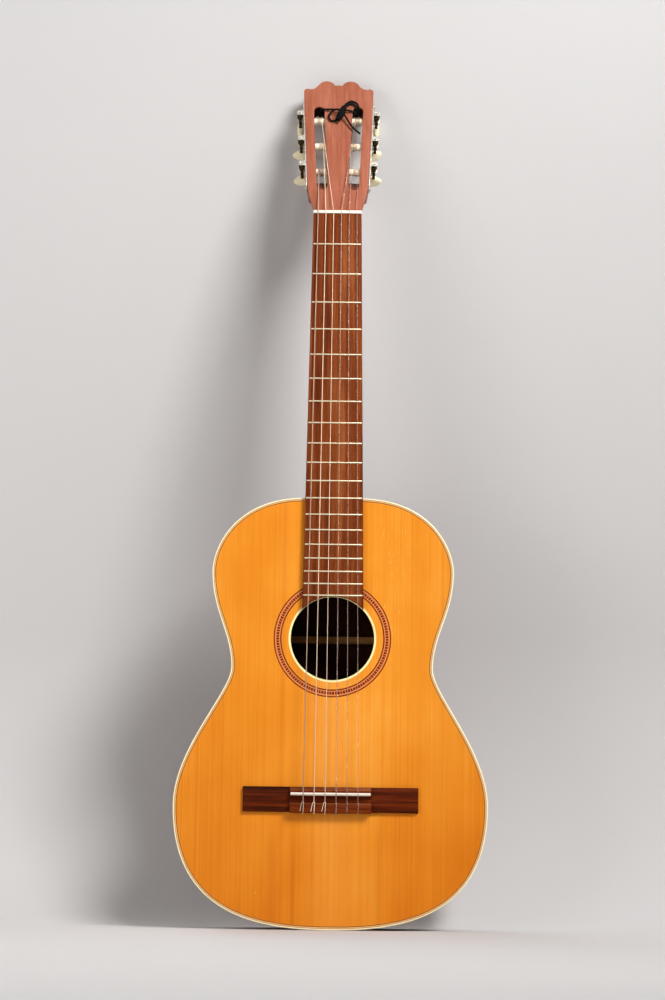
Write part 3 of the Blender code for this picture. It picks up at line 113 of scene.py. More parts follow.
# Darker streaks in the spruce as (place across, half width, top, strength), and a bright dent
SPRUCE_STREAKS = ((-0.0631, 0.0060, 0.13, 0.32), (-0.0400, 0.0036, 0.12, 0.42), (-0.0977, 0.0020, 0.06, 0.35),
                  (0.0529, 0.0030, 0.13, 0.28))
STREAK_FADE = 0.05
DENT_PLACE = (-0.0800, FACE_Y, 0.0392)

# Neck
HEEL_DEPTH = 0.084
NECK_DEPTH_HEEL = 0.0190
NECK_DEPTH_NUT = 0.0165
HEEL_CAP_LENGTH = 0.020
HEEL_SWEEP = 0.056
HEEL_BACK_SHARE = 0.36
HEEL_HOLLOW = 2.2
HEEL_FULLNESS = 8.0
SHAFT_FULLNESS = 2.0
NECK_STEPS = 48
HEEL_STEPS = 30
SHAFT_STEPS = 8
BOARD_WIDTH_NUT = 0.0542
BOARD_WIDTH_BODY = 0.0637
BOARD_THICKNESS = 0.006
BOARD_EASE = 0.0005
BOARD_ARC_RADIUS = 0.0463
BOARD_ARC_STEPS = 40
BOARD_CORNER_SHARE = 0.75

# Head: its bumps and lobes as (in from the corner or out from the centre, above the slots)
HEAD_ANGLE = math.radians(18.0)
HEAD_THICKNESS = 0.0195
VENEER_THICKNESS = 0.0018
HEAD_WIDTH_SHOULDER = 0.0696
HEAD_WIDTH_TOP = 0.0804
SHOULDER_HEIGHT = 0.037
SHOULDER_FLARE = 0.0030
SHOULDER_EASE = 0.0006
RAMP_HEIGHT = 0.0224
NECK_ROOTS = ((0.010, 0.0008, 0.90), (0.024, 0.0020, 0.80))
CORNER_RISE = 0.0216
CORNER_RADIUS = 0.0025
BUMP = (0.0044, 0.0260)
DIP = (0.0077, 0.0252)
LOBE = (0.0146, 0.0368)
NOTCH = (0.0048, 0.0309)
HEAD_STEPS = (14, 10, 6, 20, 12)
CHEEK_WIDTH = 0.0107
SLOT_WIDTH = 0.0121
SLOT_CENTRE = CHEEK_WIDTH + SLOT_WIDTH / 2
SLOT_FOOT = 0.0280
SLOT_TOP = 0.1424
SLOT_END_STEPS = 20
SLOT_WALL = 0.3
SLOT_RAMP_RISE = 0.0215
RAMP_SIDE_SINK = 0.0006
RAMP_FOOT_SINK = 0.0010
RAMP_LIP = 0.0004
HEAD_BACK_EASE = 0.0014
VENEER_EASE = 0.00035

# Frets and nut: ends as (in from the end, share of the height or inset), side view as (up, height)
SCALE_LENGTH = 0.650
NUT_Z = 0.7955
NUT_ADVANCE = 0.0010
NUT_THICKNESS = 0.0040
NUT_TOP = 0.0076
NUT_SHAPE = ((0.0, 0.0), (0.0, 0.0070), (0.00018, 0.00742), (0.0006, 0.0076), (0.0012, 0.0075),
             (0.0034, 0.0054), (0.0040, 0.0048), (0.0040, 0.0))
NUT_ENDS = ((0.0, 0.0003), (0.0004, 0.0))
NUT_REST = 0.0008
FRET_COUNT = 19
FRET_HALF_WIDTH = 0.00078
FRET_HEIGHT = 0.0010
FRET_INSET = 0.0009
FRET_SEAT = 0.0006
FRET_SEAT_SHARE = 0.6
FRET_ROUND = 0.8
FRET_ENDS = ((0.0, 0.06), (0.0005, 0.75), (0.0011, 1.0))
FRET_STEPS = 8

# Tuning machines: screws as (radius, rise), the shaft's tip as (past its bearing, radius)
ROLLER_COUNT = 3
FIRST_ROLLER_HEIGHT = 0.0560
ROLLER_SPACING = 0.0350
ROLLER_DEPTH = 0.0070
ROLLER_RADIUS = 0.0040
ROLLER_LENGTH = CHEEK_WIDTH + SLOT_WIDTH + 0.0045
ROLLER_EASE = 0.0004
STUB_RADIUS = 0.0022
STUB_START = -0.003
AXLE_SIDES = 32
PLATE_THICKNESS = 0.0012
PLATE_WIDTH = 0.0150
PLATE_OVERHANG = 0.0260
PLATE_EASE = 0.00025
PLATE_SCREW = (0.0026, 0.0011)
LOW_SCREW = 0.0217
HIGH_SCREW = 0.0220
STUB_SCREW = (STUB_RADIUS * 0.98, 0.0006)
PLATE_SCREW_TURNS = (0.5, 1.8, 3.1, 4.4)
STUB_SCREW_TURNS = (0.7, 1.7, 2.7)
SCREW_FOOT = 0.0002
SCREW_WALL = 0.35
SCREW_POINT = 0.04
SCREW_STEPS = 6
SCREW_SIDES = 28
SCREW_SLOT_REACH = 1.2
SCREW_SLOT_HALF = 0.16
SCREW_SLOT_FLOOR = 0.45
LUG_HALF_HEIGHT = 0.0032
LUG_WALL = 0.0025
LUG_THICKNESS = 0.0014
LUG_FOOT = 0.0006
LUG_STEPS = 12
GEAR_OFFSET = 0.00522
GEAR_FACE_WIDTH = 0.0034
GEAR_TEETH = 14
GEAR_PITCH_RADIUS = 0.0060
GEAR_ADDENDUM = 0.00072
GEAR_DEDENDUM = 0.00098
GEAR_ROOT_EASE = 0.0004
GEAR_TIP_EASE = 0.00012
GEAR_FLANK = (0.82, 1.1)
GEAR_EASE = 0.0003
GEAR_DISH = 0.0001
WORM_PITCH_RADIUS = 0.0028
WORM_ADDENDUM = 0.00062
WORM_DEDENDUM = 0.00095
WORM_EASE = 0.0001
CREST_SHARE = 0.7
WORM_TURNS = 3
WORM_STEPS = 28
TOOTH_PITCH = 2 * math.pi * GEAR_PITCH_RADIUS / GEAR_TEETH
TOOTH_HALF = 0.40 * TOOTH_PITCH / 2
FLANK_SLOPE = math.tan(math.radians(22.0))
WORM_LENGTH = 0.01127
WORM_RISE = WORM_PITCH_RADIUS + GEAR_PITCH_RADIUS
SHAFT_RADIUS = 0.0014
SHAFT_TIP = ((0.0006, 0.0004), (0.0005, SHAFT_RADIUS * 0.8), (0.0001, SHAFT_RADIUS))
SHAFT_PLAY = 0.0001
SHAFT_INTO_BUTTON = 0.006
COLLAR_RADIUS = 0.0023
COLLAR_EASE = 0.0002
BUTTON_START = 0.0275
BUTTON_LENGTH = 0.0160
BUTTON_HALF_WIDTH = 0.0096
BUTTON_HALF_THICKNESS = 0.0037
BUTTON_SIDES = 48
BUTTON_STEPS = 4
BUTTON_TURNS = {"bass": (0, 8, 90), "treble": (-10, -38, 90)}
BUTTON_PROFILE = ((0.0, 0.10, 0.30), (0.004, 0.27, 0.62), (0.03, 0.35, 0.76), (0.10, 0.42, 0.81),
                  (0.28, 0.76, 0.92), (0.50, 0.98, 1.0), (0.72, 0.98, 0.96), (0.90, 0.74, 0.78),
                  (0.975, 0.46, 0.52), (0.998, 0.22, 0.26), (1.0, 0.04, 0.04))
SIDES = {"bass": -1, "treble": 1}

# Bridge and saddle: side views as (up the guitar from the saddle's middle, height over the face)
SADDLE_Z = NUT_Z - SCALE_LENGTH
BRIDGE_LENGTH = 0.1906
CENTRE_LENGTH = 0.0885
BRIDGE_TOP_EDGE = 0.0079
BRIDGE_FOOT_EDGE = 0.0194
WING_HEIGHT = 0.0040
WING_EASE = 0.0008
WING_END_EASE = 0.0005
CENTRE_END_EASE = 0.0003
BRIDGE_SHAPE = (
    (0.0079, 0.0), (0.0079, 0.0040), (0.0074, 0.0052), (0.0051, 0.0079), (0.0045, 0.0086), (0.0036, 0.0090),
    (0.0016, 0.0090), (0.0016, 0.0046), (-0.0016, 0.0046), (-0.0016, 0.0079), (-0.0026, 0.0078),
    (-0.0030, 0.0073), (-0.0038, 0.0053), (-0.0043, 0.0050), (-0.0096, 0.0050), (-0.0096, 0.0088),
    (-0.0099, 0.0096), (-0.0106, 0.0100), (-0.0195, 0.0100), (-0.0201, 0.0097), (-0.0204, 0.0091),
    (-0.0204, 0.0),
)
TIE_BLOCK_WIDTH = 0.0098
TIE_BLOCK_HEIGHT = 0.0100
TIE_EDGE = TIE_BLOCK_WIDTH - BRIDGE_FOOT_EDGE
SADDLE_HEIGHT = 0.0125
SADDLE_LENGTH = 0.0870
SADDLE_END_EASE = 0.0004
SADDLE_SHAPE = ((0.0015, 0.0046), (0.0015, 0.0119), (0.0013, 0.0123), (0.0009, 0.0125), (0.0, 0.0124),
                (-0.0010, 0.0115), (-0.0015, 0.0108), (-0.0015, 0.0046))
BLOCK_OVERHANG = 0.0010
STRING_HOLE_RADIUS = 0.0013
STRING_HOLE_HEIGHT = 0.0072
STRING_HOLE_REACH = 0.020
STRING_HOLE_MIDDLE = 0.018
DRILL_SIDES = 20

# Painted highlight on the bridge: the tie block's edge as (middle, reach), the deck's slope as (up, height)
BLOCK_TOP = TIE_BLOCK_HEIGHT - 0.0013
HIGHLIGHT_TIE = (TIE_EDGE - 0.0004, 0.0008)
HIGHLIGHT_SLOPE = (0.0035, WING_HEIGHT + 0.0005)
HIGHLIGHT_FACING = 0.25
HIGHLIGHT_HALF = CENTRE_LENGTH / 2 - 0.0004

# Strings, from the low one on the bass side; their loops as (across, over the block, above its edge)
STRING_DIAMETERS = (0.00110, 0.00090, 0.00076, 0.00103, 0.00082, 0.00071)
STRING_LOOKS = ("dull_wire", "silver_wire", "silver_wire", "nylon", "nylon", "nylon")
WOUND_STRINGS = 3
STRING_SPREAD_NUT = 0.0436
STRING_SPREAD_SADDLE = 0.0594
WOUND_LOOP = ((-0.0034, 0.0, -0.0092), (-0.0022, 0.0, -0.0030), (-0.0016, 0.0, -0.0008),
              (-0.0009, 0.0001, 0.0007), (0.0, 0.0003, 0.0010), (0.0006, 0.0001, 0.0004))
PLAIN_LOOP = ((-0.0007, 0.0002, -0.0002), (0.0, 0.0008, 0.0006), (0.0008, 0.0002, -0.0001))
OVER_BLOCK = ((0.0004, 0.0, -0.0016), (0.0002, 0.0, -0.0084))
TIE_STEPS = 5
STRING_BEND = 0.0012
STRING_BEHIND = 0.0004
STRING_INSIDE = 0.0010
WINDING_TURNS = 3
WINDING_POINTS = 30
WINDING_CLEARANCE = 0.00055
WINDING_STARTS = (0.0030, -0.0034, -0.0021)
TANGENT_ROUNDS = 4
STRING_GAP = 0.0003

# Lace tied round the centre bar of the head, and its knot: (x, depth behind the face, height up the head)
LACE_DIAMETER = 0.0022
LACE_STEPS = 6
LACE_ROUTE = (
    (0.0247, -0.0031, 0.1035), (0.0153, -0.0033, 0.1135), (0.0078, -0.0052, 0.1260),
    (0.0030, -0.0076, 0.1316), (-0.0030, -0.0069, 0.1342), (-0.0086, -0.0040, 0.1324),
    (-0.0112, -0.0020, 0.1276), (-0.0090, -0.0018, 0.1228), (-0.0042, -0.0018, 0.1220),
    (-0.0004, -0.0018, 0.1258), (0.0024, -0.0018, 0.1312), (0.0050, -0.0018, 0.1390),
    (0.0090, -0.0018, 0.1463), (0.0146, -0.0019, 0.1496), (0.0200, -0.0024, 0.1469),
    (0.0226, -0.0024, 0.1426), (0.0228, 0.0009, 0.1395), (0.0222, 0.0085, 0.1389),
    (0.0208, 0.0170, 0.1391), (0.0160, 0.0215, 0.1389), (0.0000, 0.0220, 0.1384),
    (-0.0160, 0.0215, 0.1388), (-0.0208, 0.0170, 0.1390), (-0.0222, 0.0095, 0.1392),
    (-0.0216, 0.0026, 0.1390), (-0.0186, -0.0016, 0.1383), (-0.0130, -0.0023, 0.1374),
    (-0.0040, -0.0039, 0.1366), (0.0040, -0.0049, 0.1358), (0.0110, -0.0033, 0.1356),
    (0.0162, -0.0019, 0.1357), (0.0200, 0.0016, 0.1354), (0.0207, 0.0080, 0.1353),
    (0.0196, 0.0165, 0.1352), (0.0156, 0.0215, 0.1349), (0.0000, 0.0220, 0.1344),
    (-0.0156, 0.0215, 0.1348), (-0.0198, 0.0160, 0.1352), (-0.0207, 0.0080, 0.1354),
)
BOW_ROUTE = (
    (0.0034, -0.0046, 0.1345), (0.0066, -0.0024, 0.1392), (0.0100, -0.0019, 0.1437),
    (0.0142, -0.0018, 0.1463), (0.0182, -0.0020, 0.1447), (0.0202, -0.0016, 0.1412),
    (0.0206, 0.0012, 0.1392), (0.0206, 0.0050, 0.1384),
)
KNOT_PLACE = (0.0032, -0.0058, 0.1300)
KNOT_LENGTH = 0.0195
KNOT_RADIUS = 0.0031
KNOT_FLATNESS = 0.7
KNOT_END_SHARE = 0.55
KNOT_TURNS = 8
KNOT_LEAN = math.radians(21.0)
KNOT_STEPS = 22
KNOT_SWELL = 0.7

# Stage: a floor, a sheet of paper that runs from it up to close behind the head, and the room's light
PAPER_LEAN = math.radians(15.0)
PAPER_HEAD_Y = 0.0385
PAPER_HEAD_Z = 0.930
PAPER_FOOT_Y = 0.058
PAPER_RAMP = (0.165, 0.006)
PAPER_BEND_Z = (0.15, 0.34)
PAPER_TOP_Z = 2.2
PAPER_HALF_WIDTH = 3.6
PAPER_STEPS = 36
PAPER_GREY = (199, 197, 196)
PAPER_LIGHT = (204, 202, 201)
FLOOR_HALF = 9.0
ROOM_LIGHT = 0.09
ROOM_GREY = 0.62
ROOM_TINT = (1.0, 0.985, 0.975, 1.0)
FADE_START = 1.5
FADE_END = 3.2

# Lamps as (place, target, width, height, power, spread in degrees)
LAMPS = {"key": ((1.25, -1.90, 2.10), (-0.40, 0, 0.95), 1.05, 1.05, 43, 120),
         "fill": ((-1.45, -1.65, 0.45), (-0.35, 0.1, 0.0), 1.0, 0.8, 11.5, 180),
         "back": ((-1.2, 2.6, 1.6), (0, 0, 0.45), 1.8, 1.8, 36, 180)}


def srgb(tone):
    """A colour on a 0 to 255 scale, as a shader takes it."""
    shares = [value / 255 for value in tone]
    return (*(s / 12.92 if s <= 0.04045 else ((s + 0.055) / 1.055) ** 2.4 for s in shares), 1.0)


class Nodes:
    """A node tree, whose nodes are added one after another."""

    def __init__(self, tree):
        self.tree = tree

    def node(self, kind, inputs=None, **settings):
        """Add a node; an input is another node's socket or a plain value."""
        made = self.tree.nodes.new(kind)
        for key, value in settings.items():
            setattr(made, key, value)
        for key, value in (inputs or {}).items():
            self.feed(made.inputs[key], value)
        return made

    def feed(self, socket, value):
        """Link a socket to another node's socket, or set its plain value."""
        if isinstance(value, bpy.types.NodeSocket):
            self.tree.links.new(value, socket)
        else:
            socket.default_value = value

    def maths(self, operation, *values, **settings):
        """The result of a maths node."""
        inputs = dict(enumerate(values))
        return self.node("ShaderNodeMath", inputs, operation=operation, **settings).outputs[0]

    def product(self, first, *others):
        """The product of values."""
        for other in others:
            first = self.maths("MULTIPLY", first, other)
        return first

    def weighted(self, *parts):
        """The sum of (value, weight) pairs."""
        total = 0.0
        for value, weight in parts:
            total = self.maths("MULTIPLY_ADD", value, weight, total)
        return total

    def level(self, value, low, high, to_low, to_high):
        """Map a range of values to another one, held at its ends."""
        inputs = {"Value": value, "From Min": low, "From Max": high, "To Min": to_low, "To Max": to_high}
        return self.node("ShaderNodeMapRange", inputs).outputs["Result"]


class Finish(Nodes):
    """One material."""

    def __init__(self, name, tone, roughness, **sockets):
        self.made = bpy.data.materials.new(name)
        self.made.use_nodes = True
        super().__init__(self.made.node_tree)
        self.shader = self.tree.nodes["Principled BSDF"]
        self.shader.inputs["Base Color"].default_value = srgb(tone)
        self.shader.inputs["Roughness"].default_value = roughness
        for socket, value in sockets.items():
            self.shader.inputs[socket.replace("_", " ").title().replace("Ior", "IOR")].default_value = value
        self.place = self.node("ShaderNodeTexCoord").outputs["Object"]

    def stretched(self, scale, offset=(0, 0, 0)):
        """The object's coordinates, scaled along each axis."""
        inputs = {"Vector": self.place, "Scale": scale, "Location": offset}
        return self.node("ShaderNodeMapping", inputs).outputs["Vector"]

    def noise(self, scale, detail=3.0, roughness=0.55, offset=(0, 0, 0), distortion=0.0):
        """Noise from 0 to 1 with features of one over the scale along each axis."""
        inputs = {"Vector": self.stretched(scale, offset), "Scale": 1.0, "Detail": detail,
                  "Roughness": roughness, "Distortion": distortion}
        return self.node("ShaderNodeTexNoise", inputs).outputs[0]

    def ramp(self, factor, *stops):
        """Colour from (position, tone) stops."""
        made = self.node("ShaderNodeValToRGB", {"Fac": factor})
        elements = made.color_ramp.elements
        while len(elements) < len(stops):
            elements.new(0.5)
        for element, (position, tone) in zip(elements, stops):
            element.position = position
            element.color = srgb(tone)
        return made.outputs["Color"]

    def blend(self, factor, first, second, kind="MIX"):
        """Blend two colours; a plain one is a tone of three numbers, or four as a shader takes them."""
        ends = [srgb(end) if isinstance(end, tuple) and len(end) == 3 else end for end in (first, second)]
        inputs = {0: factor, 6: ends[0], 7: ends[1]}
        return self.node("ShaderNodeMix", inputs, data_type="RGBA", blend_type=kind).outputs[2]

    def done(self, colour=None, roughness=None, height=None, distance=0.0):
        """The material, given what its colour, roughness and height come from; the height is from 0 to 1."""
        if height:
            bump = self.node("ShaderNodeBump", {"Height": height, "Distance": distance})
            self.feed(self.shader.inputs["Normal"], bump.outputs["Normal"])
        for socket, value in (("Base Color", colour), ("Roughness", roughness)):
            if value:
                self.feed(self.shader.inputs[socket], value)
        return self.made


def spruce():
    """Aged spruce under lacquer: fine upright grain, broad warm streaks and a few dents."""
    made = Finish("spruce", (245, 152, 44), 0.36, specular_ior_level=0.15)
    x, _, z = made.node("ShaderNodeSeparateXYZ", {"Vector": made.place}).outputs
    aside = made.maths("ABSOLUTE", x)
    fine = made.noise((820, 20, 3.0), 3.0, 0.65)
    middle = made.noise((190, 8, 1.1), 3.0, 0.6, (3.1, 0, 0.4))
    broad = made.noise((22, 3, 0.8), 2.0, 0.5, (0.7, 0, 0.2))
    patch = made.noise((13, 3, 7.5), 3.0, 0.55, (0.3, 0, 0.9))
    tone = made.weighted((middle, 0.14), (fine, 0.28), (patch, 0.36), (broad, 0.22))
    colour = made.ramp(tone, (0.30, (202, 105, 14)), (0.41, (224, 131, 26)), (0.54, (236, 148, 41)),
                       (0.68, (246, 172, 75)))
    streaks = made.level(made.noise((120, 4, 0.45), 1.0, 0.4, (8.0, 0, 0)), 0.64, 0.80, 0.0, 0.26)
    colour = made.blend(streaks, colour, (196, 94, 16))
    for across, half_width, top, strength in SPRUCE_STREAKS:
        from_middle = made.maths("ABSOLUTE", made.maths("SUBTRACT", x, across))
        share = made.product(made.level(from_middle, 0.0, half_width, strength, 0.0),
                             made.level(z, top - STREAK_FADE, top, 1.0, 0.0),
                             made.level(fine, 0.35, 0.65, 0.4, 1.2))
        colour = made.blend(share, colour, (186, 92, 16))
    from_dent = made.node("ShaderNodeVectorMath", {0: made.place, 1: DENT_PLACE}, operation="DISTANCE")
    dent = made.level(from_dent.outputs["Value"], 0.0004, 0.0010, 0.8, 0.0)
    colour = made.blend(dent, colour, (255, 206, 140))
    centre = made.product(made.level(aside, 0.008, 0.034, 0.30, 0.0), made.level(fine, 0.3, 0.7, 0.5, 1.3))
    colour = made.blend(centre, colour, (255, 180, 88))
    scratches = made.level(made.noise((700, 1, 70), 1.0, 0.4, (5.0, 0, 3.0), 1.2), 0.66, 0.74, 0.0, 0.5)
    rubbed = made.product(made.level(x, 0.040, 0.056, 0.0, 1.0), made.level(x, 0.076, 0.092, 1.0, 0.0),
                          made.level(z, 0.30, 0.33, 0.0, 1.0), scratches)
    colour = made.blend(rubbed, colour, (255, 196, 120))
    # Darker and deeper in colour towards the tail and the sides: partly the wood's own deeper tone, partly
    # painted shade of the lamp's falloff.
    low = made.level(z, 0.24, 0.0, 0.0, 0.75)
    wide = made.level(aside, 0.03, 0.17, 0.0, 0.45)
    deeper_tone_and_shade = made.maths("ADD", low, wide, use_clamp=True)
    colour = made.blend(deeper_tone_and_shade, colour, (0.82, 0.67, 0.36, 1.0), "MULTIPLY")
    dents = made.level(made.noise((70, 70, 90), 2.0, 0.5), 0.70, 0.80, 0.0, 1.0)
    return made.done(colour, made.level(fine, 0.3, 0.7, 0.30, 0.40),
                     made.weighted((fine, 0.4), (dents, -0.9)), 0.00006)


def pored_wood(name, tones, axis, across, along, roughness, gloss, pore_share=0.35, seed=0.0, follows=None):
    """Hardwood with streaks and short dark pores that run along one axis of the object.

    tones are four colours from dark to light; across and along are noise scales for that direction.
    follows names a mesh attribute to take the place from, for grain that bends with a piece.
    """
    made = Finish(name, tones[2], roughness, coat_weight=gloss, coat_roughness=0.18,
                  specular_ior_level=0.15 if gloss else 0.06)
    if follows:
        made.place = made.node("ShaderNodeAttribute", attribute_name=follows).outputs["Vector"]

    def scale(cross, run):
        return tuple(run if letter == axis else cross for letter in "xyz")

    streak = made.noise(scale(across, along), 4.0, 0.62, (seed, seed, seed), 0.4)
    broad = made.noise(scale(across / 6, along / 2), 2.0, 0.5, (seed + 2, seed, seed))
    colour = made.ramp(made.weighted((broad, 0.38), (streak, 0.62)), *zip((0.34, 0.45, 0.55, 0.68), tones))
    pores = made.noise(scale(across * 8, along * 9), 2.0, 0.5, (seed, 1.0, 0.0))
    pores = made.level(pores, 0.60, 0.68, 0.0, 1.0)
    colour = made.blend(made.product(pores, pore_share), colour, (0.30, 0.24, 0.20, 1.0), "MULTIPLY")
    return made.done(colour, made.level(streak, 0.3, 0.7, roughness - 0.06, roughness + 0.08),
                     made.weighted((streak, 0.3), (pores, -1.0)), 0.00007)


def tinted(name, tone, shade, roughness, scale, spread=0.5, coat=(0.0, 0.1), specular=0.5):
    """A smooth material whose colour drifts softly to a second shade; coat is its weight and roughness."""
    made = Finish(name, tone, roughness, coat_weight=coat[0], coat_roughness=coat[1],
                  specular_ior_level=specular)
    drift = made.noise((scale, scale, scale), 4.0, 0.6)
    return made.done(made.blend(made.level(drift, 0.35, 0.70, 0.0, spread), tone, shade),
                     made.level(drift, 0.3, 0.7, roughness * 0.85, roughness * 1.25), drift, 0.00003)


def metal(name, tone, tarnish, roughness, share=0.5, metallic=1.0):
    """Plated metal with fine brushing and tarnish."""
    made = Finish(name, tone, roughness, metallic=metallic)
    cloud = made.noise((260, 260, 260), 4.0, 0.65)
    brushed = made.noise((3000, 500, 500), 2.0, 0.5)
    return made.done(made.blend(made.level(cloud, 0.42, 0.68, 0.0, share), tone, tarnish),
                     made.level(cloud, 0.3, 0.7, roughness, roughness + 0.16), brushed, 0.00002)


def wound_wire(name, tone, shade):
    """Round wire closely wound along the string."""
    made = Finish(name, tone, 0.38, metallic=0.35)
    inputs = {"Vector": made.stretched((1, 1, 1)), "Scale": 1250.0, "Distortion": 0.6, "Detail": 1.0,
              "Detail Scale": 30.0}
    turns = made.node("ShaderNodeTexWave", inputs, wave_type="BANDS", bands_direction="Z").outputs["Fac"]
    return made.done(made.blend(made.level(turns, 0.1, 0.9, 0.8, 0.0), tone, shade), None, turns, 0.00005)


def nylon():
    """Clear nylon line."""
    made = Finish("nylon", (238, 220, 202), 0.35, transmission_weight=0.84, ior=1.3, specular_ior_level=0.3)
    cloud = made.noise((400, 400, 60), 2.0, 0.5)
    return made.done(None, made.level(cloud, 0.3, 0.7, 0.16, 0.30))


def braided_cord():
    """Tightly braided black cord."""
    made = Finish("black_cord", (12, 13, 12), 0.78, sheen_weight=0.02, sheen_roughness=0.5,
                  specular_ior_level=0.1)
    inputs = {"Vector": made.stretched((1, 1, 1)), "Scale": 1900.0}
    cells = made.node("ShaderNodeTexVoronoi", inputs).outputs[0]
    # The braid's raised strands are a little lighter and greenish, a painted sheen, and the gaps between them
    # near black, painted shade.
    colour = made.ramp(cells, (0.0, (26, 29, 26)), (0.6, (10, 11, 10)), (1.0, (4, 4, 4)))
    return made.done(colour, None,
                     made.maths("SUBTRACT", 1.0, cells), 0.00018)


MAHOGANY = ((62, 20, 8), (90, 34, 16), (110, 46, 24), (132, 62, 34))
WOODS = {
    "mahogany": (MAHOGANY, "x", 90, 4.0, 0.30, 0.35, 0.35, 0.0, "grain"),
    "back_wood": (MAHOGANY, "z", 110, 3.0, 0.30, 0.35, 0.35, 4.0),
    # Painted shade: a much darker copy of the back's wood, for its inner face inside the body.
    "inner_back": (((34, 12, 4), (42, 16, 5), (52, 21, 7), (64, 28, 10)),
                   "z", 110, 3.0, 0.7, 0.0, 0.35, 4.0),
    "cedar_neck": (((98, 46, 27), (120, 60, 38), (136, 72, 46), (152, 86, 58)),
                   "z", 170, 5.0, 0.40, 0.1, 0.3, 1.0),
    # Painted shade: a much darker copy of the neck's cedar, for the walls inside the head's slots.
    "slot_wood": (((26, 10, 5), (36, 14, 8), (46, 20, 12), (58, 28, 18)),
                  "z", 170, 5.0, 0.6, 0.0, 0.3, 1.0),
    "veneer": (((142, 78, 57), (155, 88, 65), (166, 98, 75), (177, 111, 87)),
               "z", 260, 20.0, 0.50, 0.0, 0.35, 2.0),
    "board_wood": (((82, 32, 8), (108, 47, 16), (128, 61, 25), (153, 86, 43)),
                   "z", 230, 9.0, 0.50, 0.0, 0.55, 5.0),
    "bridge_wood": (((42, 10, 0), (66, 20, 1), (94, 32, 4), (126, 54, 14)),
                    "x", 330, 9.0, 0.46, 0.0, 0.45, 3.0),
    "tie_wood": (((66, 20, 2), (88, 32, 4), (112, 44, 8), (138, 62, 18)),
                 "x", 330, 9.0, 0.36, 0.0, 0.45, 3.0),
    # Painted highlight: a lighter copy of the bridge's wood, for its edges that face the light.
    "worn_edge": (((86, 40, 20), (108, 54, 28), (128, 70, 40), (152, 92, 58)),
                  "x", 330, 20.0, 0.45, 0.0, 0.3, 3.0),
    "inner_wood": (((120, 78, 36), (134, 90, 44), (146, 100, 52), (158, 114, 66)),
                   "x", 240, 8.0, 0.62, 0.0, 0.15, 6.0),
}
TINTS = {
    "cream": ((255, 242, 204), (246, 224, 168), 0.28, 60, 0.6, (0.2, 0.1)),
    "warm_cream": ((228, 176, 110), (212, 154, 84), 0.28, 60, 0.6, (0.2, 0.1)),
    "tan_line": ((160, 106, 50), (136, 84, 34), 0.35, 200),
    "dark_line": ((88, 40, 8), (62, 26, 4), 0.35, 200),
    "rosette_dark": ((118, 32, 5), (96, 22, 1), 0.36, 300, 0.5, (0.0, 0.1), 0.1),
    "rosette_pink": ((226, 136, 78), (210, 116, 58), 0.36, 300, 0.5, (0.0, 0.1), 0.1),
    "hole_cream": ((255, 242, 178), (246, 222, 140), 0.28, 60),
    "bone": ((255, 250, 234), (244, 230, 200), 0.30, 200),
    "aged_cream": ((255, 246, 208), (246, 226, 174), 0.26, 130, 0.6, (0.4, 0.08)),
    "roller_bone": ((255, 246, 222), (246, 230, 190), 0.28, 130, 0.6),
}
METALS = {
    "nickel": ((224, 219, 207), (150, 140, 120), 0.22, 0.35),
    "steel": ((196, 190, 176), (96, 84, 66), 0.26, 0.6),
    "fret_wire": ((250, 240, 206), (216, 200, 150), 0.30, 0.4, 0.55),
    "bronze": ((62, 46, 24), (24, 18, 12), 0.34, 0.8),
}
WIRES = {"silver_wire": ((252, 228, 200), (206, 178, 146)), "dull_wire": ((204, 174, 150), (140, 110, 90))}
FINISHES = {"spruce": spruce(), "nylon": nylon(), "black_cord": braided_cord()}
for make, looks in ((pored_wood, WOODS), (tinted, TINTS), (metal, METALS), (wound_wire, WIRES)):
    for finish_name, look in looks.items():
        FINISHES[finish_name] = make(finish_name, *look)


@contextmanager
def opened(mesh):
    """A mesh's faces and edges to work on, put back into it afterwards."""
    shell = bmesh.new()
    shell.from_mesh(mesh)
    yield shell
    shell.to_mesh(mesh)
    shell.free()


def finish_mesh(mesh, smooth_angle=38):
    """Faces out, shaded smooth apart from the edges sharper than the angle in degrees."""
    with opened(mesh) as shell:
        bmesh.ops.recalc_face_normals(shell, faces=shell.faces)
    mesh.shade_smooth()
    mesh.set_sharp_from_angle(angle=math.radians(smooth_angle))
    return mesh


def loft(rings, closed_loop=False, smooth_angle=38):
    """Skin a row of equal rings, with a cap on each open end."""
    count = len(rings[0])
    points = [tuple(p) for ring in rings for p in ring]
    faces = []
    for i in range(len(rings) if closed_loop else len(rings) - 1):
        here = i * count
        after = (i + 1) % len(rings) * count
        for j in range(count):
            k = (j + 1) % count
            faces.append((here + j, here + k, after + k, after + j))
    if not closed_loop:
        faces.append(tuple(range(count)))
        faces.append(tuple(range(len(points) - count, len(points))))
    mesh = bpy.data.meshes.new("loft")
    mesh.from_pydata(points, [], faces)
    return finish_mesh(mesh, smooth_angle)


def joined(meshes, smooth_angle=38):
    """One mesh from several, which keeps each one's materials."""
    shell = bmesh.new()
    materials = []
    for mesh in meshes:
        first = len(shell.faces)
        shell.from_mesh(mesh)
        shell.faces.ensure_lookup_table()
        own = list(mesh.materials)
        materials += [finish for finish in own if finish not in materials]
        for face in shell.faces[first:]:
            if own:
                face.material_index = materials.index(own[min(face.material_index, len(own) - 1)])
    made = bpy.data.meshes.new("joined")
    shell.to_mesh(made)
    shell.free()
    for finish in materials:
        made.materials.append(finish)
    return finish_mesh(made, smooth_angle)


def coloured(mesh, *finishes):
    """The mesh with these materials."""
    for finish in finishes:
        mesh.materials.append(FINISHES[finish])
    return mesh


def shift(x, y, z):
    """The matrix of a move."""
    return Matrix.Translation((x, y, z))


def spin(angle, axis):
    """The matrix of a turn about an axis of the frame."""
    return Matrix.Rotation(angle, 4, axis)


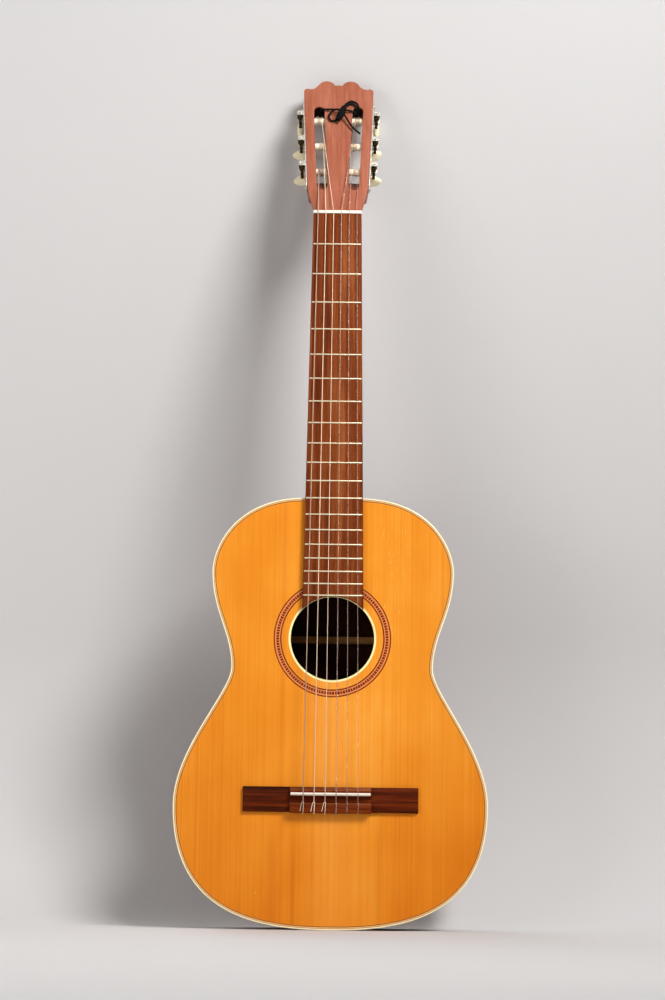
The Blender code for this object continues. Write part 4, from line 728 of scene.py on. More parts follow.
def moved(mesh, place):
    """The mesh, moved by a matrix."""
    mesh.transform(place)
    return mesh


def evaluated(holder):
    """The object's mesh as its modifiers or its curve make it; the object is removed."""
    bpy.context.view_layer.update()
    mesh = bpy.data.meshes.new_from_object(holder.evaluated_get(bpy.context.evaluated_depsgraph_get()))
    bpy.data.objects.remove(holder)
    return mesh


def linked(name, data):
    """A new object of the scene."""
    made = bpy.data.objects.new(name, data)
    bpy.context.scene.collection.objects.link(made)
    return made


def combined(mesh, tools, operation, smooth_angle=38):
    """The mesh after a Boolean with each tool."""
    holder = linked("holder", mesh)
    helpers = [linked("tool", tool) for tool in tools]
    for helper in helpers:
        step = holder.modifiers.new("step", 'BOOLEAN')
        step.operation = operation
        step.solver = 'EXACT'
        step.object = helper
    made = evaluated(holder)
    for helper in helpers:
        bpy.data.objects.remove(helper)
    return finish_mesh(made, smooth_angle)


def eased(mesh, width, chosen, segments=3, sharper_than=25):
    """The mesh with its sharp edges rounded where chosen says so for both ends."""
    with opened(mesh) as shell:
        edges = [e for e in shell.edges
                 if len(e.link_faces) == 2 and e.calc_face_angle(0.0) > math.radians(sharper_than)
                 and all(chosen(v.co) for v in e.verts)]
        bmesh.ops.bevel(shell, geom=edges, offset=width, segments=segments, profile=0.5, affect='EDGES')
    return finish_mesh(mesh)


def polyline(curve, points):
    """Add a row of straight stretches to a curve."""
    spline = curve.splines.new('POLY')
    spline.points.add(len(points) - 1)
    for point, place in zip(spline.points, points):
        point.co = (*place, 1.0)
    return spline


def plate(outlines, front, back, ease=0.0, same_point=1e-6):
    """A flat plate between two depths in Y, from closed outlines in (x, z) of which the first is its edge."""
    curve = bpy.data.curves.new("plate", 'CURVE')
    curve.dimensions = '2D'
    curve.fill_mode = 'BOTH'
    curve.bevel_depth = ease
    curve.bevel_resolution = 2
    curve.offset = -ease
    curve.extrude = (back - front) / 2 - ease
    for outline in outlines:
        polyline(curve, [(x, z, 0.0) for x, z in outline]).use_cyclic_u = True
    mesh = evaluated(linked("plate", curve))
    moved(mesh, shift(0, (front + back) / 2, 0) @ spin(math.pi / 2, 'X'))
    with opened(mesh) as shell:
        bmesh.ops.remove_doubles(shell, verts=shell.verts, dist=same_point)
    return finish_mesh(mesh)


def turned(profile, sides=48):
    """A round piece about Y from (y, radius) pairs."""
    angles = [2 * math.pi * i / sides for i in range(sides)]
    return loft([[(radius * math.cos(a), y, radius * math.sin(a)) for a in angles] for y, radius in profile])


def tube_curve(route, diameter):
    """A round tube through the given points, as a curve with capped ends."""
    curve = bpy.data.curves.new("tube", 'CURVE')
    curve.dimensions = '3D'
    curve.bevel_depth = diameter / 2
    curve.bevel_resolution = 4
    curve.use_fill_caps = True
    polyline(curve, route)
    return curve


def piece(name, data, finish, body="guitar", stands_for=(), place=Matrix()):
    """Link a mesh or curve as a piece that rides on a body; with no finish it keeps the ones it has."""
    data.name = name
    made = linked(name, data)
    made.matrix_world = place
    if finish:
        data.materials.clear()
        coloured(data, finish)
    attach(made, body)
    if stands_for:
        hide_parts(*stands_for)
    return made


def arc(centre, radius, start, end, steps):
    """Points of a circle's arc in (x, z), with both ends."""
    angles = [start + (end - start) * i / steps for i in range(steps + 1)]
    return [(centre[0] + radius * math.cos(a), centre[1] + radius * math.sin(a)) for a in angles]


def circle(centre, radius, sides):
    """Points of a circle in (x, z)."""
    return arc(centre, radius, 0.0, 2 * math.pi, sides)[:-1]


def stadium(centre, low, high, radius):
    """Outline of a strip with round ends."""
    return (arc((centre, high - radius), radius, 0.0, math.pi, SLOT_END_STEPS)
            + arc((centre, low + radius), radius, math.pi, 2 * math.pi, SLOT_END_STEPS))


def at_depth(outline, y):
    """The corners of an outline in (x, z) at a depth."""
    return [(x, y, z) for x, z in outline]


def mirrored(pairs):
    """Pairs, then in reverse the same pairs with the first number's sign changed."""
    return list(pairs) + [(-first, second) for first, second in reversed(pairs)]


def smooth_route(points, steps):
    """A smooth curve through the given points."""
    points = [Vector(p) for p in points]
    route = []
    for i in range(len(points) - 1):
        before = points[max(i - 1, 0)]
        here = points[i]
        after = points[i + 1]
        beyond = points[min(i + 2, len(points) - 1)]
        for k in range(steps):
            t = k / steps
            route.append(0.5 * (2 * here + (after - before) * t
                                + (2 * before - 5 * here + 4 * after - beyond) * t * t
                                + (3 * here - before - 3 * after + beyond) * t ** 3))
    return route + [points[-1]]


def beziers(*curves):
    """Points of cubic curves, each (start, first, second, end, steps), without the end of the last one."""
    points = []
    for *corners, steps in curves:
        for i in range(steps):
            t = i / steps
            u = 1 - t
            weights = (u ** 3, 3 * u * u * t, 3 * u * t * t, t ** 3)
            points.append(tuple(sum(w * p[axis] for w, p in zip(weights, corners)) for axis in range(2)))
    return points


def half_outline():
    """Treble half of the body outline in (x, z), from the tail's centre to the neck's centre."""
    lower_rise = WAIST[1] - LOWER_BOUT[1]
    waist_rise = UPPER_BOUT[1] - WAIST[1]
    upper_rise = NECK_END[1] - UPPER_BOUT[1]
    shoulder = NECK_END[0] + (UPPER_BOUT[0] - NECK_END[0]) * SHOULDER_ROUND
    tail_steps, lower_steps, waist_steps, upper_steps = OUTLINE_STEPS

    def above(station, reach):
        return (station[0], station[1] + reach)

    return beziers(
        ((0.0, 0.0), (LOWER_BOUT[0] * TAIL_ROUND, 0.0), above(LOWER_BOUT, -LOWER_BOUT[1] * LOWER_ROUND[0]),
         LOWER_BOUT, tail_steps),
        (LOWER_BOUT, above(LOWER_BOUT, lower_rise * LOWER_ROUND[1]),
         above(WAIST, -lower_rise * WAIST_ROUND[0]), WAIST, lower_steps),
        (WAIST, above(WAIST, waist_rise * WAIST_ROUND[1]),
         above(UPPER_BOUT, -waist_rise * UPPER_ROUND[0]), UPPER_BOUT, waist_steps),
        (UPPER_BOUT, above(UPPER_BOUT, upper_rise * UPPER_ROUND[1]),
         (shoulder, NECK_END[1]), NECK_END, upper_steps),
    ) + [NECK_END, (0.0, BODY_LENGTH)]


HALF_OUTLINE = half_outline()


def outline_stations():
    """Each point of the closed outline with its outward normal, up the treble side and down the bass side."""
    points = HALF_OUTLINE + [(-x, z) for x, z in reversed(HALF_OUTLINE[1:-1])]
    found = []
    for i, point in enumerate(points):
        before = points[i - 1]
        after = points[(i + 1) % len(points)]
        along = Vector((after[0] - before[0], after[1] - before[1])).normalized()
        found.append((Vector(point), Vector((along[1], -along[0]))))
    return found


OUTLINE = outline_stations()


def inset_outline(inset):
    """The body's outline moved inwards."""
    return [tuple(point - normal * inset) for point, normal in OUTLINE]


def back_y(z):
    """The back's outer plane, which tapers from the tail to the neck."""
    return FACE_Y + BODY_DEPTH_TAIL + (BODY_DEPTH_NECK - BODY_DEPTH_TAIL) * z / BODY_LENGTH


def swept(profile, path=OUTLINE):
    """Sweep a closed profile of (inset, plane, depth) corners along a path, or round the outline.

    The attribute "grain" says how far along the path and how deep each point lies.
    """
    rings = []
    grain = []
    run = 0.0
    last = path[0][0]
    for point, normal in path:
        run += (point - last).length
        last = point
        ring = []
        for inset, plane, depth in profile:
            place = point - normal * inset
            y = depth + (FACE_Y if plane == "face" else back_y(place[1]))
            ring.append((place[0], y, place[1]))
            grain.append((run, y, inset))
        rings.append(ring)
    mesh = loft(rings, closed_loop=path is OUTLINE)
    stored = mesh.attributes.new("grain", 'FLOAT_VECTOR', 'POINT')
    for item, value in zip(stored.data, grain):
        item.vector = value
    return mesh


def build_bindings():
    """Layered binding round the soundboard and a plain one round the back."""
    top_lines = (("tan_line", OUTER_LAYER, TAN_LAYER), ("warm_cream", TAN_LAYER, CREAM_LAYER),
                 ("dark_line", CREAM_LAYER, DARK_LAYER))
    back_lines = (("dark_line", BACK_DARK_LAYER, CREAM_LAYER),)
    for name, plane, sign, width, lines in (("top", "face", 1, OUTER_LAYER, top_lines),
                                            ("back", "back", -1, BACK_DARK_LAYER, back_lines)):
        profile = []
        for i in range(ROUND_STEPS + 1):
            angle = math.pi / 2 * i / ROUND_STEPS
            profile.append((BINDING_ROUND * (1 - math.sin(angle)), plane,
                            sign * BINDING_ROUND * (1 - math.cos(angle))))
        deep = sign * BINDING_DEPTH
        profile += [(0.0, plane, deep), (width, plane, deep), (width, plane, 0.0)]
        layers = [coloured(swept(profile), "cream")]
        for finish, start, end in lines:
            corners = ((start, 0.0), (end, 0.0), (end, sign * LAYER_DEPTH), (start, sign * LAYER_DEPTH))
            layers.append(coloured(swept([(inset, plane, depth) for inset, depth in corners]), finish))
        piece(name + "_binding_layers", joined(layers), None, stands_for=(name + "_binding",))


def hole_circle(radius):
    """A circle about the soundhole's centre."""
    return circle((0.0, HOLE_HEIGHT), radius, ROUND_SIDES)


def hole_ring(inner, outer):
    """A flat ring about the soundhole, as thick as the soundboard."""
    return plate([hole_circle(outer), hole_circle(inner)], FACE_Y, FACE_Y + TOP_THICKNESS)


def build_soundboard():
    """Soundboard with its round hole, rosette and the binding in the hole."""
    wide = plate([inset_outline(DARK_LAYER), hole_circle(ROSETTE_OUTER)], FACE_Y, FACE_Y + TOP_THICKNESS)
    board = joined([wide, hole_ring(HOLE_BINDING_RADIUS, ROSETTE_INNER)])
    piece("soundboard_plate", board, "spruce", stands_for=("soundboard",))
    radii = (ROSETTE_INNER, ROSETTE_INNER_LINE, ROSETTE_OUTER_LINE, ROSETTE_OUTER)
    finishes = ("rosette_dark", "rosette_pink", "rosette_dark")
    rings = [coloured(hole_ring(*edges), finish) for *edges, finish in zip(radii, radii[1:], finishes)]
    dashes = []
    for i in range(DASH_COUNT):
        half = DASH_HALF_WIDTH * (1.0 if i % 2 else DASH_NARROW)
        corners = mirrored([(-half, DASH_INNER), (-half * DASH_FLARE, DASH_OUTER)])
        dash = plate([corners], -DASH_RISE, TOP_THICKNESS / 2)
        dashes.append(moved(dash, shift(0, FACE_Y, HOLE_HEIGHT) @ spin(2 * math.pi * i / DASH_COUNT, 'Y')))
    rings.append(coloured(joined(dashes), "rosette_dark"))
    piece("rosette_rings", joined(rings), None, stands_for=("rosette",))
    edge = eased(hole_ring(HOLE_RADIUS, HOLE_BINDING_RADIUS), HOLE_EASE,
                 lambda p: math.hypot(p.x, p.z - HOLE_HEIGHT) < HOLE_RADIUS + HOLE_EASE)
    piece("hole_binding", edge, "hole_cream", stands_for=("soundhole_binding",))


def build_box():
    """Sides and back of the body."""
    profile = [(0.0, "face", BINDING_DEPTH), (SIDE_THICKNESS, "face", BINDING_DEPTH),
               (SIDE_THICKNESS, "back", -BINDING_DEPTH), (0.0, "back", -BINDING_DEPTH)]
    half = OUTLINE[:len(HALF_OUTLINE)]
    for side, sign in SIDES.items():
        path = [(Vector((sign * p[0], p[1])), Vector((sign * n[0], n[1]))) for p, n in half]
        path[0][0].x = sign * SIDE_JOINT
        piece("side_wood_" + side, swept(profile, path), "mahogany", stands_for=("side_" + side,))
    board = coloured(plate([inset_outline(CREAM_LAYER)], -BACK_THICKNESS, 0.0), "back_wood", "inner_back")
    for vertex in board.vertices:
        vertex.co.y += back_y(vertex.co.z)
    # The inner face, which looks into the body, takes the darker copy of the wood as painted shade.
    for face in board.polygons:
        face.material_index = 1 if face.normal.y < INWARD else 0
    piece("back_plate", board, None, stands_for=("back",))


def board_half_width(z):
    """Half width of fingerboard and neck at height z."""
    share = (NUT_Z - z) / (NUT_Z - BODY_LENGTH)
    return (BOARD_WIDTH_NUT + (BOARD_WIDTH_BODY - BOARD_WIDTH_NUT) * share) / 2


WOOD_FACE = VENEER_THICKNESS + SEAM
HEAD_Z = NUT_Z + NUT_THICKNESS - NUT_ADVANCE
HEAD = shift(0, FACE_Y - WOOD_FACE, HEAD_Z) @ spin(-HEAD_ANGLE, 'X')
CORNER_HEIGHT = SLOT_TOP + CORNER_RISE
SIDE_TAPER = math.atan((HEAD_WIDTH_TOP - HEAD_WIDTH_SHOULDER) / 2 / (CORNER_HEIGHT - SHOULDER_HEIGHT))


def side_in_head(side):
    """One side of the head in the head's own frame: X out along the roller axes, Z up along the side."""
    foot = HEAD_WIDTH_SHOULDER / 2 - SHOULDER_HEIGHT * math.tan(SIDE_TAPER)
    return shift(SIDES[side] * foot, 0, 0) @ spin(SIDES[side] * SIDE_TAPER, 'Y')


def roller_height(index):
    """Height of a roller's axis up the head; roller 0 is the nearest to the nut."""
    return FIRST_ROLLER_HEIGHT + ROLLER_SPACING * index


def neck_section(half_width, depth, heel):
    """Half-round neck section as (x, depth) corners; heel goes from 0 on the shaft to 1 at the heel."""
    points = []
    fullness = SHAFT_FULLNESS + (HEEL_FULLNESS - SHAFT_FULLNESS) * heel
    for i in range(NECK_STEPS + 1):
        angle = math.pi * i / NECK_STEPS
        reach = math.sin(angle)
        narrowed = HEEL_BACK_SHARE + (1 - HEEL_BACK_SHARE) * (1 - reach) ** HEEL_HOLLOW
        waist = (1 - heel) + heel * narrowed
        bluntness = math.sqrt(max(0.0, 1 - reach ** fullness))
        sign = 1 if angle < math.pi / 2 else -1
        points.append((sign * half_width * waist * bluntness, depth * reach))
    return points


def neck_mesh():
    """Neck sections from the heel's foot to inside the head."""
    foot = BODY_LENGTH + SEAM
    sweep_end = foot + HEEL_CAP_LENGTH + HEEL_SWEEP
    rise = HEEL_DEPTH - NECK_DEPTH_HEEL
    places = [(foot, HEEL_DEPTH)]
    for i in range(HEEL_STEPS + 1):
        angle = math.pi / 2 * i / HEEL_STEPS
        places.append((sweep_end - HEEL_SWEEP * math.cos(angle), HEEL_DEPTH - rise * math.sin(angle)))
    for i in range(1, SHAFT_STEPS + 1):
        share = i / SHAFT_STEPS
        places.append((sweep_end + (NUT_Z - sweep_end) * share,
                       NECK_DEPTH_HEEL + (NECK_DEPTH_NUT - NECK_DEPTH_HEEL) * share))
    rings = []
    for z, depth in places:
        section = neck_section(board_half_width(z), depth, max(0.0, (depth - NECK_DEPTH_HEEL) / rise))
        rings.append([(x, FACE_Y + d, z) for x, d in section])
    for height, inset, share in NECK_ROOTS:
        section = neck_section(BOARD_WIDTH_NUT / 2 - inset, HEAD_THICKNESS * share, 0.0)
        rings.append([HEAD @ Vector((x, WOOD_FACE + SEAM + d, height)) for x, d in section])
    return loft(rings)


def head_outline(foot):
    """Outline of the head in (x, height), anticlockwise, from the foot at the given height."""
    neck = (BOARD_WIDTH_NUT / 2, foot)
    shoulder = (HEAD_WIDTH_SHOULDER / 2, SHOULDER_HEIGHT)
    corner = (HEAD_WIDTH_TOP / 2, CORNER_HEIGHT)
    bump, dip = ((corner[0] - inset, SLOT_TOP + rise) for inset, rise in (BUMP, DIP))
    lobe, notch = ((x, SLOT_TOP + rise) for x, rise in (LOBE, NOTCH))
    third = (SHOULDER_HEIGHT - foot) / 3
    between = (bump[0] - dip[0]) / 3
    flank = (dip[0] - lobe[0]) / 2
    shoulder_steps, corner_steps, bump_steps, dip_steps, lobe_steps = HEAD_STEPS
    return mirrored([
        *beziers((neck, (neck[0] + SHOULDER_FLARE, foot + third),
                  (shoulder[0] - SHOULDER_EASE, SHOULDER_HEIGHT - third), shoulder, shoulder_steps)),
        shoulder,
        *beziers((corner, (corner[0], corner[1] + CORNER_RADIUS), (bump[0] + CORNER_RADIUS, bump[1]), bump,
                  corner_steps),
                 (bump, (bump[0] - between, bump[1]), (dip[0] + between, dip[1]), dip, bump_steps),
                 (dip, (dip[0] - flank, dip[1]), (lobe[0] + flank, lobe[1]), lobe, dip_steps),
                 (lobe, ((lobe[0] + notch[0]) / 2, lobe[1]), (notch[0], (lobe[1] + notch[1]) / 2), notch,
                  lobe_steps)),
        notch,
    ])


def slot_outline(side):
    """The string slot of one side, in the head's (x, height)."""
    outline = stadium(-SIDES[side] * SLOT_CENTRE, SLOT_FOOT, SLOT_TOP, SLOT_WIDTH / 2)
    corners = [side_in_head(side) @ Vector((x, 0, z)) for x, z in outline]
    return [(corner.x, corner.z) for corner in corners]


def slot_ramp(side):
    """The sloped foot of a slot, which lets the strings run down into it."""
    half = SLOT_WIDTH / 2 + RAMP_SIDE_SINK
    centre = -SIDES[side] * SLOT_CENTRE
    foot = SLOT_FOOT - RAMP_FOOT_SINK
    front = WOOD_FACE + SEAM
    back = HEAD_THICKNESS - SEAM
    section = [(front, foot), (front, SLOT_FOOT + RAMP_LIP), (back, SLOT_FOOT + SLOT_RAMP_RISE), (back, foot)]
    wedge = loft([[(x, y, z) for y, z in section] for x in (centre - half, centre + half)])
    return moved(wedge, side_in_head(side))


def build_neck():
    """Neck with heel and slotted head, and the head's veneer."""
    front = head_outline(0.0)
    back = [(x, max(z, RAMP_HEIGHT)) for x, z in front]
    paddle = loft([at_depth(front, WOOD_FACE), at_depth(back, HEAD_THICKNESS)])
    slots = [slot_outline(side) for side in SIDES]
    through = (-HEAD_THICKNESS, 2 * HEAD_THICKNESS)
    paddle = combined(paddle, [loft([at_depth(slot, y) for y in through]) for slot in slots], 'DIFFERENCE')
    paddle = combined(paddle, [slot_ramp(side) for side in SIDES], 'UNION')
    paddle = eased(paddle, HEAD_BACK_EASE, lambda p: p.y > HEAD_THICKNESS - 1e-5)
    neck = combined(neck_mesh(), [moved(paddle, HEAD)], 'UNION', 32)
    # The slots' inner walls take the second, much darker copy of the neck's wood: painted shade in the slots.
    coloured(neck, "cedar_neck", "slot_wood")
    slot_frames = [((HEAD @ side_in_head(side)).inverted(), -SIDES[side] * SLOT_CENTRE) for side in SIDES]
    for face in neck.polygons:
        for inwards, centre in slot_frames:
            at = inwards @ face.center
            facing = (inwards.to_3x3() @ face.normal).y
            inside = abs(at.x - centre) < SLOT_WIDTH / 2 + SEAM and SLOT_FOOT < at.z < SLOT_TOP + SEAM
            if inside and abs(facing) < SLOT_WALL:
                face.material_index = 1
    piece("neck_wood", neck, None, stands_for=("neck",))
    edge = head_outline(WOOD_FACE * math.tan(HEAD_ANGLE) + SEAM)
    piece("head_face", plate([edge, *slots], 0.0, WOOD_FACE, VENEER_EASE), "veneer",
          stands_for=("head_veneer",), place=HEAD)


def fret_mesh(number, surface):
    """A fret's wire, at the height that the rule of equal semitones gives it."""
    z = NUT_Z - SCALE_LENGTH * (1 - 2 ** (-number / 12))
    half = board_half_width(z) - FRET_INSET
    seat = surface + FRET_SEAT
    foot = FRET_HALF_WIDTH * FRET_SEAT_SHARE
    rings = []
    for x, share in mirrored([(inset - half, share) for inset, share in FRET_ENDS]):
        ring = [(x, seat, z + foot), (x, seat, z - foot)]
        for i in range(FRET_STEPS + 1):
            angle = math.pi * i / FRET_STEPS
            ring.append((x, surface - FRET_HEIGHT * share * math.sin(angle) ** FRET_ROUND,
                         z - FRET_HALF_WIDTH * math.cos(angle)))
        rings.append(ring)
    return loft(rings)


def build_fingerboard():
    """Fingerboard cut to the soundhole's arc, its frets and the nut."""
    top = NUT_Z - NUT_ADVANCE
    foot = FACE_Y - SEAM / 2
    surface = FACE_Y - BOARD_THICKNESS - SEAM
    corner = board_half_width(HOLE_HEIGHT + BOARD_ARC_RADIUS * BOARD_CORNER_SHARE)
    half_angle = math.asin(corner / BOARD_ARC_RADIUS)
    end = arc((0.0, HOLE_HEIGHT), BOARD_ARC_RADIUS, math.pi / 2 - half_angle, math.pi / 2 + half_angle,
              BOARD_ARC_STEPS)
    outline = [(-board_half_width(top), top), (board_half_width(top), top)] + end
    piece("board", plate([outline], surface, foot, BOARD_EASE), "board_wood",
          stands_for=("fingerboard",))
    wires = [fret_mesh(number, surface) for number in range(1, FRET_COUNT + 1)]
    piece("frets", joined(wires), "fret_wire")
    rings = []
    for x, inset in mirrored([(across - BOARD_WIDTH_NUT / 2, inset) for across, inset in NUT_ENDS]):
        rings.append([(x, foot - max(height - inset, 0.0), top + up) for up, height in NUT_SHAPE])
    piece("nut_bone", loft(rings), "bone", stands_for=("nut",))


def string_x(index, spread):
    """Place of a string across the guitar."""
    return spread * (index / (len(STRING_DIAMETERS) - 1) - 0.5)


def bar(shape, half, ease):
    """A bar along X from a closed (z, height) shape, with slightly drawn-in ends."""
    centre_z = sum(z for z, _ in shape) / len(shape)
    rings = []
    for x, inset in mirrored([(-half, ease), (ease - half, 0.0)]):
        rings.append([(x, FACE_Y - max(h - inset, 0.0), SADDLE_Z + z + (inset if z < centre_z else -inset))
                      for z, h in shape])
    return loft(rings, smooth_angle=30)


def build_bridge():
    """Bridge with wings, slotted deck, trough and drilled tie block, and the saddle."""
    rounded = [(0.0, 0.0), (0.0, WING_HEIGHT - WING_EASE), (WING_EASE * 0.3, WING_HEIGHT - WING_EASE * 0.3),
               (WING_EASE, WING_HEIGHT)]
    wing = [(BRIDGE_TOP_EDGE - inset, height) for inset, height in rounded]
    wing += [(inset - BRIDGE_FOOT_EDGE, height) for inset, height in reversed(rounded)]
    wings = bar(wing, BRIDGE_LENGTH / 2, WING_END_EASE)
    bridge = combined(bar(BRIDGE_SHAPE, CENTRE_LENGTH / 2, CENTRE_END_EASE), [wings], 'UNION')
    drills = []
    for index in range(len(STRING_DIAMETERS)):
        ends = [(y, STRING_HOLE_RADIUS) for y in (-STRING_HOLE_REACH, STRING_HOLE_REACH)]
        place = shift(string_x(index, STRING_SPREAD_SADDLE), FACE_Y - STRING_HOLE_HEIGHT,
                      SADDLE_Z + TIE_EDGE - STRING_HOLE_MIDDLE)
        drills.append(moved(turned(ends, DRILL_SIDES), place @ spin(math.pi / 2, 'X')))
    bridge = combined(bridge, drills, 'DIFFERENCE', 30)
    coloured(bridge, "bridge_wood", "worn_edge", "tie_wood")
    # The tie block's edge and the deck's up-facing slope take the lighter wood: a painted highlight where the
    # light falls.
    for face in bridge.polygons:
        height = FACE_Y - face.center.y
        along = face.center.z - SADDLE_Z
        on_tie = abs(along - HIGHLIGHT_TIE[0]) < HIGHLIGHT_TIE[1] and height > BLOCK_TOP
        on_slope = along > HIGHLIGHT_SLOPE[0] and height > HIGHLIGHT_SLOPE[1] and face.normal.z > HIGHLIGHT_FACING
        if (on_tie or on_slope) and abs(face.center.x) < HIGHLIGHT_HALF:
            face.material_index = 1
        elif along < TIE_EDGE and height > BLOCK_TOP:
            face.material_index = 2
        else:
            face.material_index = 0
    piece("bridge_wood", bridge, None, stands_for=("bridge",))
    saddle = bar(SADDLE_SHAPE, SADDLE_LENGTH / 2, SADDLE_END_EASE)
    piece("saddle_bone", saddle, "bone", stands_for=("saddle",))


def tie_route(index, radius):
    """The string's end at the tie block: a loop over the block, then behind it and through its hole."""
    x = string_x(index, STRING_SPREAD_SADDLE)
    foot = SADDLE_Z - BRIDGE_FOOT_EDGE
    tie = SADDLE_Z + TIE_EDGE
    over = TIE_BLOCK_HEIGHT + STRING_GAP + radius
    hole = STRING_HOLE_HEIGHT
    behind = foot - BLOCK_OVERHANG - STRING_BEHIND - radius
    loop = WOUND_LOOP if index < WOUND_STRINGS else PLAIN_LOOP
    route = [(x + across, over + rise, tie + up) for across, rise, up in loop + OVER_BLOCK]
    route += [(x, over - STRING_GAP, foot), (x, over - STRING_BEND, behind), (x, hole + STRING_BEND, behind),
              (x, hole + STRING_GAP, foot - STRING_GAP), (x, hole, foot + STRING_INSIDE),
              (x, hole, tie - STRING_GAP)]
    return [(across, FACE_Y - height, z) for across, height, z in route]


def winding_route(index, radius, nut_point):
    """The string from the nut onto its roller, wound over its front and up."""
    side = "bass" if index < WOUND_STRINGS else "treble"
    rank = index if side == "bass" else len(STRING_DIAMETERS) - 1 - index
    place = HEAD @ side_in_head(side) @ shift(0, ROLLER_DEPTH, roller_height(rank))
    start = place.inverted() @ Vector(nut_point)
    reach = ROLLER_RADIUS + STRING_GAP * 0.5 + radius
    first = WINDING_STARTS[rank]
    away = -1 if first > 0 else 1
    pitch = 2 * radius + WINDING_CLEARANCE
    angle = 0.0
    for _ in range(TANGENT_ROUNDS):
        angle = math.atan2(-reach * math.cos(angle) - start[1], reach * math.sin(angle) - start[2])
    route = []
    for step in range(WINDING_TURNS * WINDING_POINTS + 1):
        turn = angle + 2 * math.pi * step / WINDING_POINTS
        across = SIDES[side] * (-SLOT_CENTRE + first + away * pitch * step / WINDING_POINTS)
        route.append(place @ Vector((across, -reach * math.cos(turn), reach * math.sin(turn))))
    return route + [route[-1] + (route[-1] - route[-2]).normalized() * 2 * radius]


def build_strings():
    """Six strings, each one tube from the tie block over saddle and nut to its roller."""
    for index, diameter in enumerate(STRING_DIAMETERS):
        radius = diameter / 2
        above = STRING_GAP / 2 + radius
        at_saddle = (string_x(index, STRING_SPREAD_SADDLE), FACE_Y - SADDLE_HEIGHT - above, SADDLE_Z)
        nut_z = NUT_Z - NUT_ADVANCE + NUT_REST
        at_nut = (string_x(index, STRING_SPREAD_NUT), FACE_Y - NUT_TOP - above, nut_z)
        route = smooth_route(tie_route(index, radius), TIE_STEPS) + [at_saddle, at_nut]
        route += winding_route(index, radius, at_nut)
        number = len(STRING_DIAMETERS) - index
        piece("string_line_%d" % number, tube_curve(route, diameter), STRING_LOOKS[index],
              stands_for=("string_%d" % number,))


def lug_outline(sign, height):
    """A bearing ear that stands out from the plate, round at its outer end."""
    middle = GEAR_OFFSET + SHAFT_RADIUS + LUG_WALL - LUG_HALF_HEIGHT
    corners = [(LUG_FOOT, height - LUG_HALF_HEIGHT), (LUG_FOOT, height + LUG_HALF_HEIGHT)]
    corners += arc((middle, height), LUG_HALF_HEIGHT, math.pi / 2, -math.pi / 2, LUG_STEPS)
    return [(sign * x, z) for x, z in corners]


def screw_mesh(radius, rise):
    """A domed screw head along Y with a straight slot; its top is at -rise."""
    dome = [(SCREW_FOOT, radius), (-rise * SCREW_WALL, radius)]
    for i in range(1, SCREW_STEPS + 1):
        angle = math.pi / 2 * i / SCREW_STEPS
        dome.append((-rise * (SCREW_WALL + (1 - SCREW_WALL) * math.sin(angle)),
                     radius * max(math.cos(angle), SCREW_POINT)))
    corner = (-radius * SCREW_SLOT_REACH, radius * SCREW_SLOT_HALF)
    cut = mirrored([(corner[0], -corner[1]), corner])
    slot = loft([at_depth(cut, y) for y in (-rise * 2, -rise * SCREW_SLOT_FLOOR)])
    return combined(turned(dome, SCREW_SIDES), [slot], 'DIFFERENCE', 30)


def gear_mesh():
    """Worm wheel about X with slanted teeth, a dished face and a tooth gap facing +Z."""
    tip = GEAR_PITCH_RADIUS + GEAR_ADDENDUM
    root = GEAR_PITCH_RADIUS - GEAR_DEDENDUM
    lead = TOOTH_PITCH / (2 * math.pi * WORM_PITCH_RADIUS)
    tip_half = (TOOTH_HALF - GEAR_ADDENDUM * FLANK_SLOPE) / tip
    root_half = (TOOTH_HALF + GEAR_DEDENDUM * FLANK_SLOPE) / root
    tooth = mirrored([(-root_half, root), (-root_half * GEAR_FLANK[0], root + GEAR_ROOT_EASE),
                      (-tip_half * GEAR_FLANK[1], tip - GEAR_TIP_EASE), (-tip_half * CREST_SHARE, tip)])
    half = GEAR_FACE_WIDTH / 2
    rings = []
    for x, trim in sorted(mirrored([(-half, GEAR_EASE), (GEAR_EASE - half, 0.0)]) + [(0.0, GEAR_DISH)]):
        ring = []
        for i in range(GEAR_TEETH):
            middle = (i + 0.5) * 2 * math.pi / GEAR_TEETH + lead * x / GEAR_PITCH_RADIUS
            ring += [(x, (trim - radius) * math.sin(middle + a), (radius - trim) * math.cos(middle + a))
                     for a, radius in tooth]
        rings.append(ring)
    return loft(rings, smooth_angle=50)


def worm_mesh():
    """Worm and its core along Y with a single right-handed thread whose middle passes -Z at y = 0."""
    crest = WORM_PITCH_RADIUS + WORM_ADDENDUM
    root = WORM_PITCH_RADIUS - WORM_DEDENDUM
    crest_half = TOOTH_HALF - WORM_ADDENDUM * FLANK_SLOPE
    root_half = TOOTH_HALF + WORM_DEDENDUM * FLANK_SLOPE
    section = mirrored([(-root_half, root - WORM_EASE), (-crest_half, crest - WORM_EASE),
                        (-crest_half * CREST_SHARE, crest)])
    rings = []
    for step in range(WORM_STEPS * WORM_TURNS + 1):
        turns = step / WORM_STEPS - WORM_TURNS / 2
        angle = math.pi / 2 + turns * 2 * math.pi
        middle = turns * TOOTH_PITCH
        rings.append([(r * math.cos(angle), middle + y, -r * math.sin(angle)) for y, r in section])
    core = turned([(-WORM_LENGTH / 2, root), (WORM_LENGTH / 2, root)], AXLE_SIDES)
    return joined([loft(rings), core])


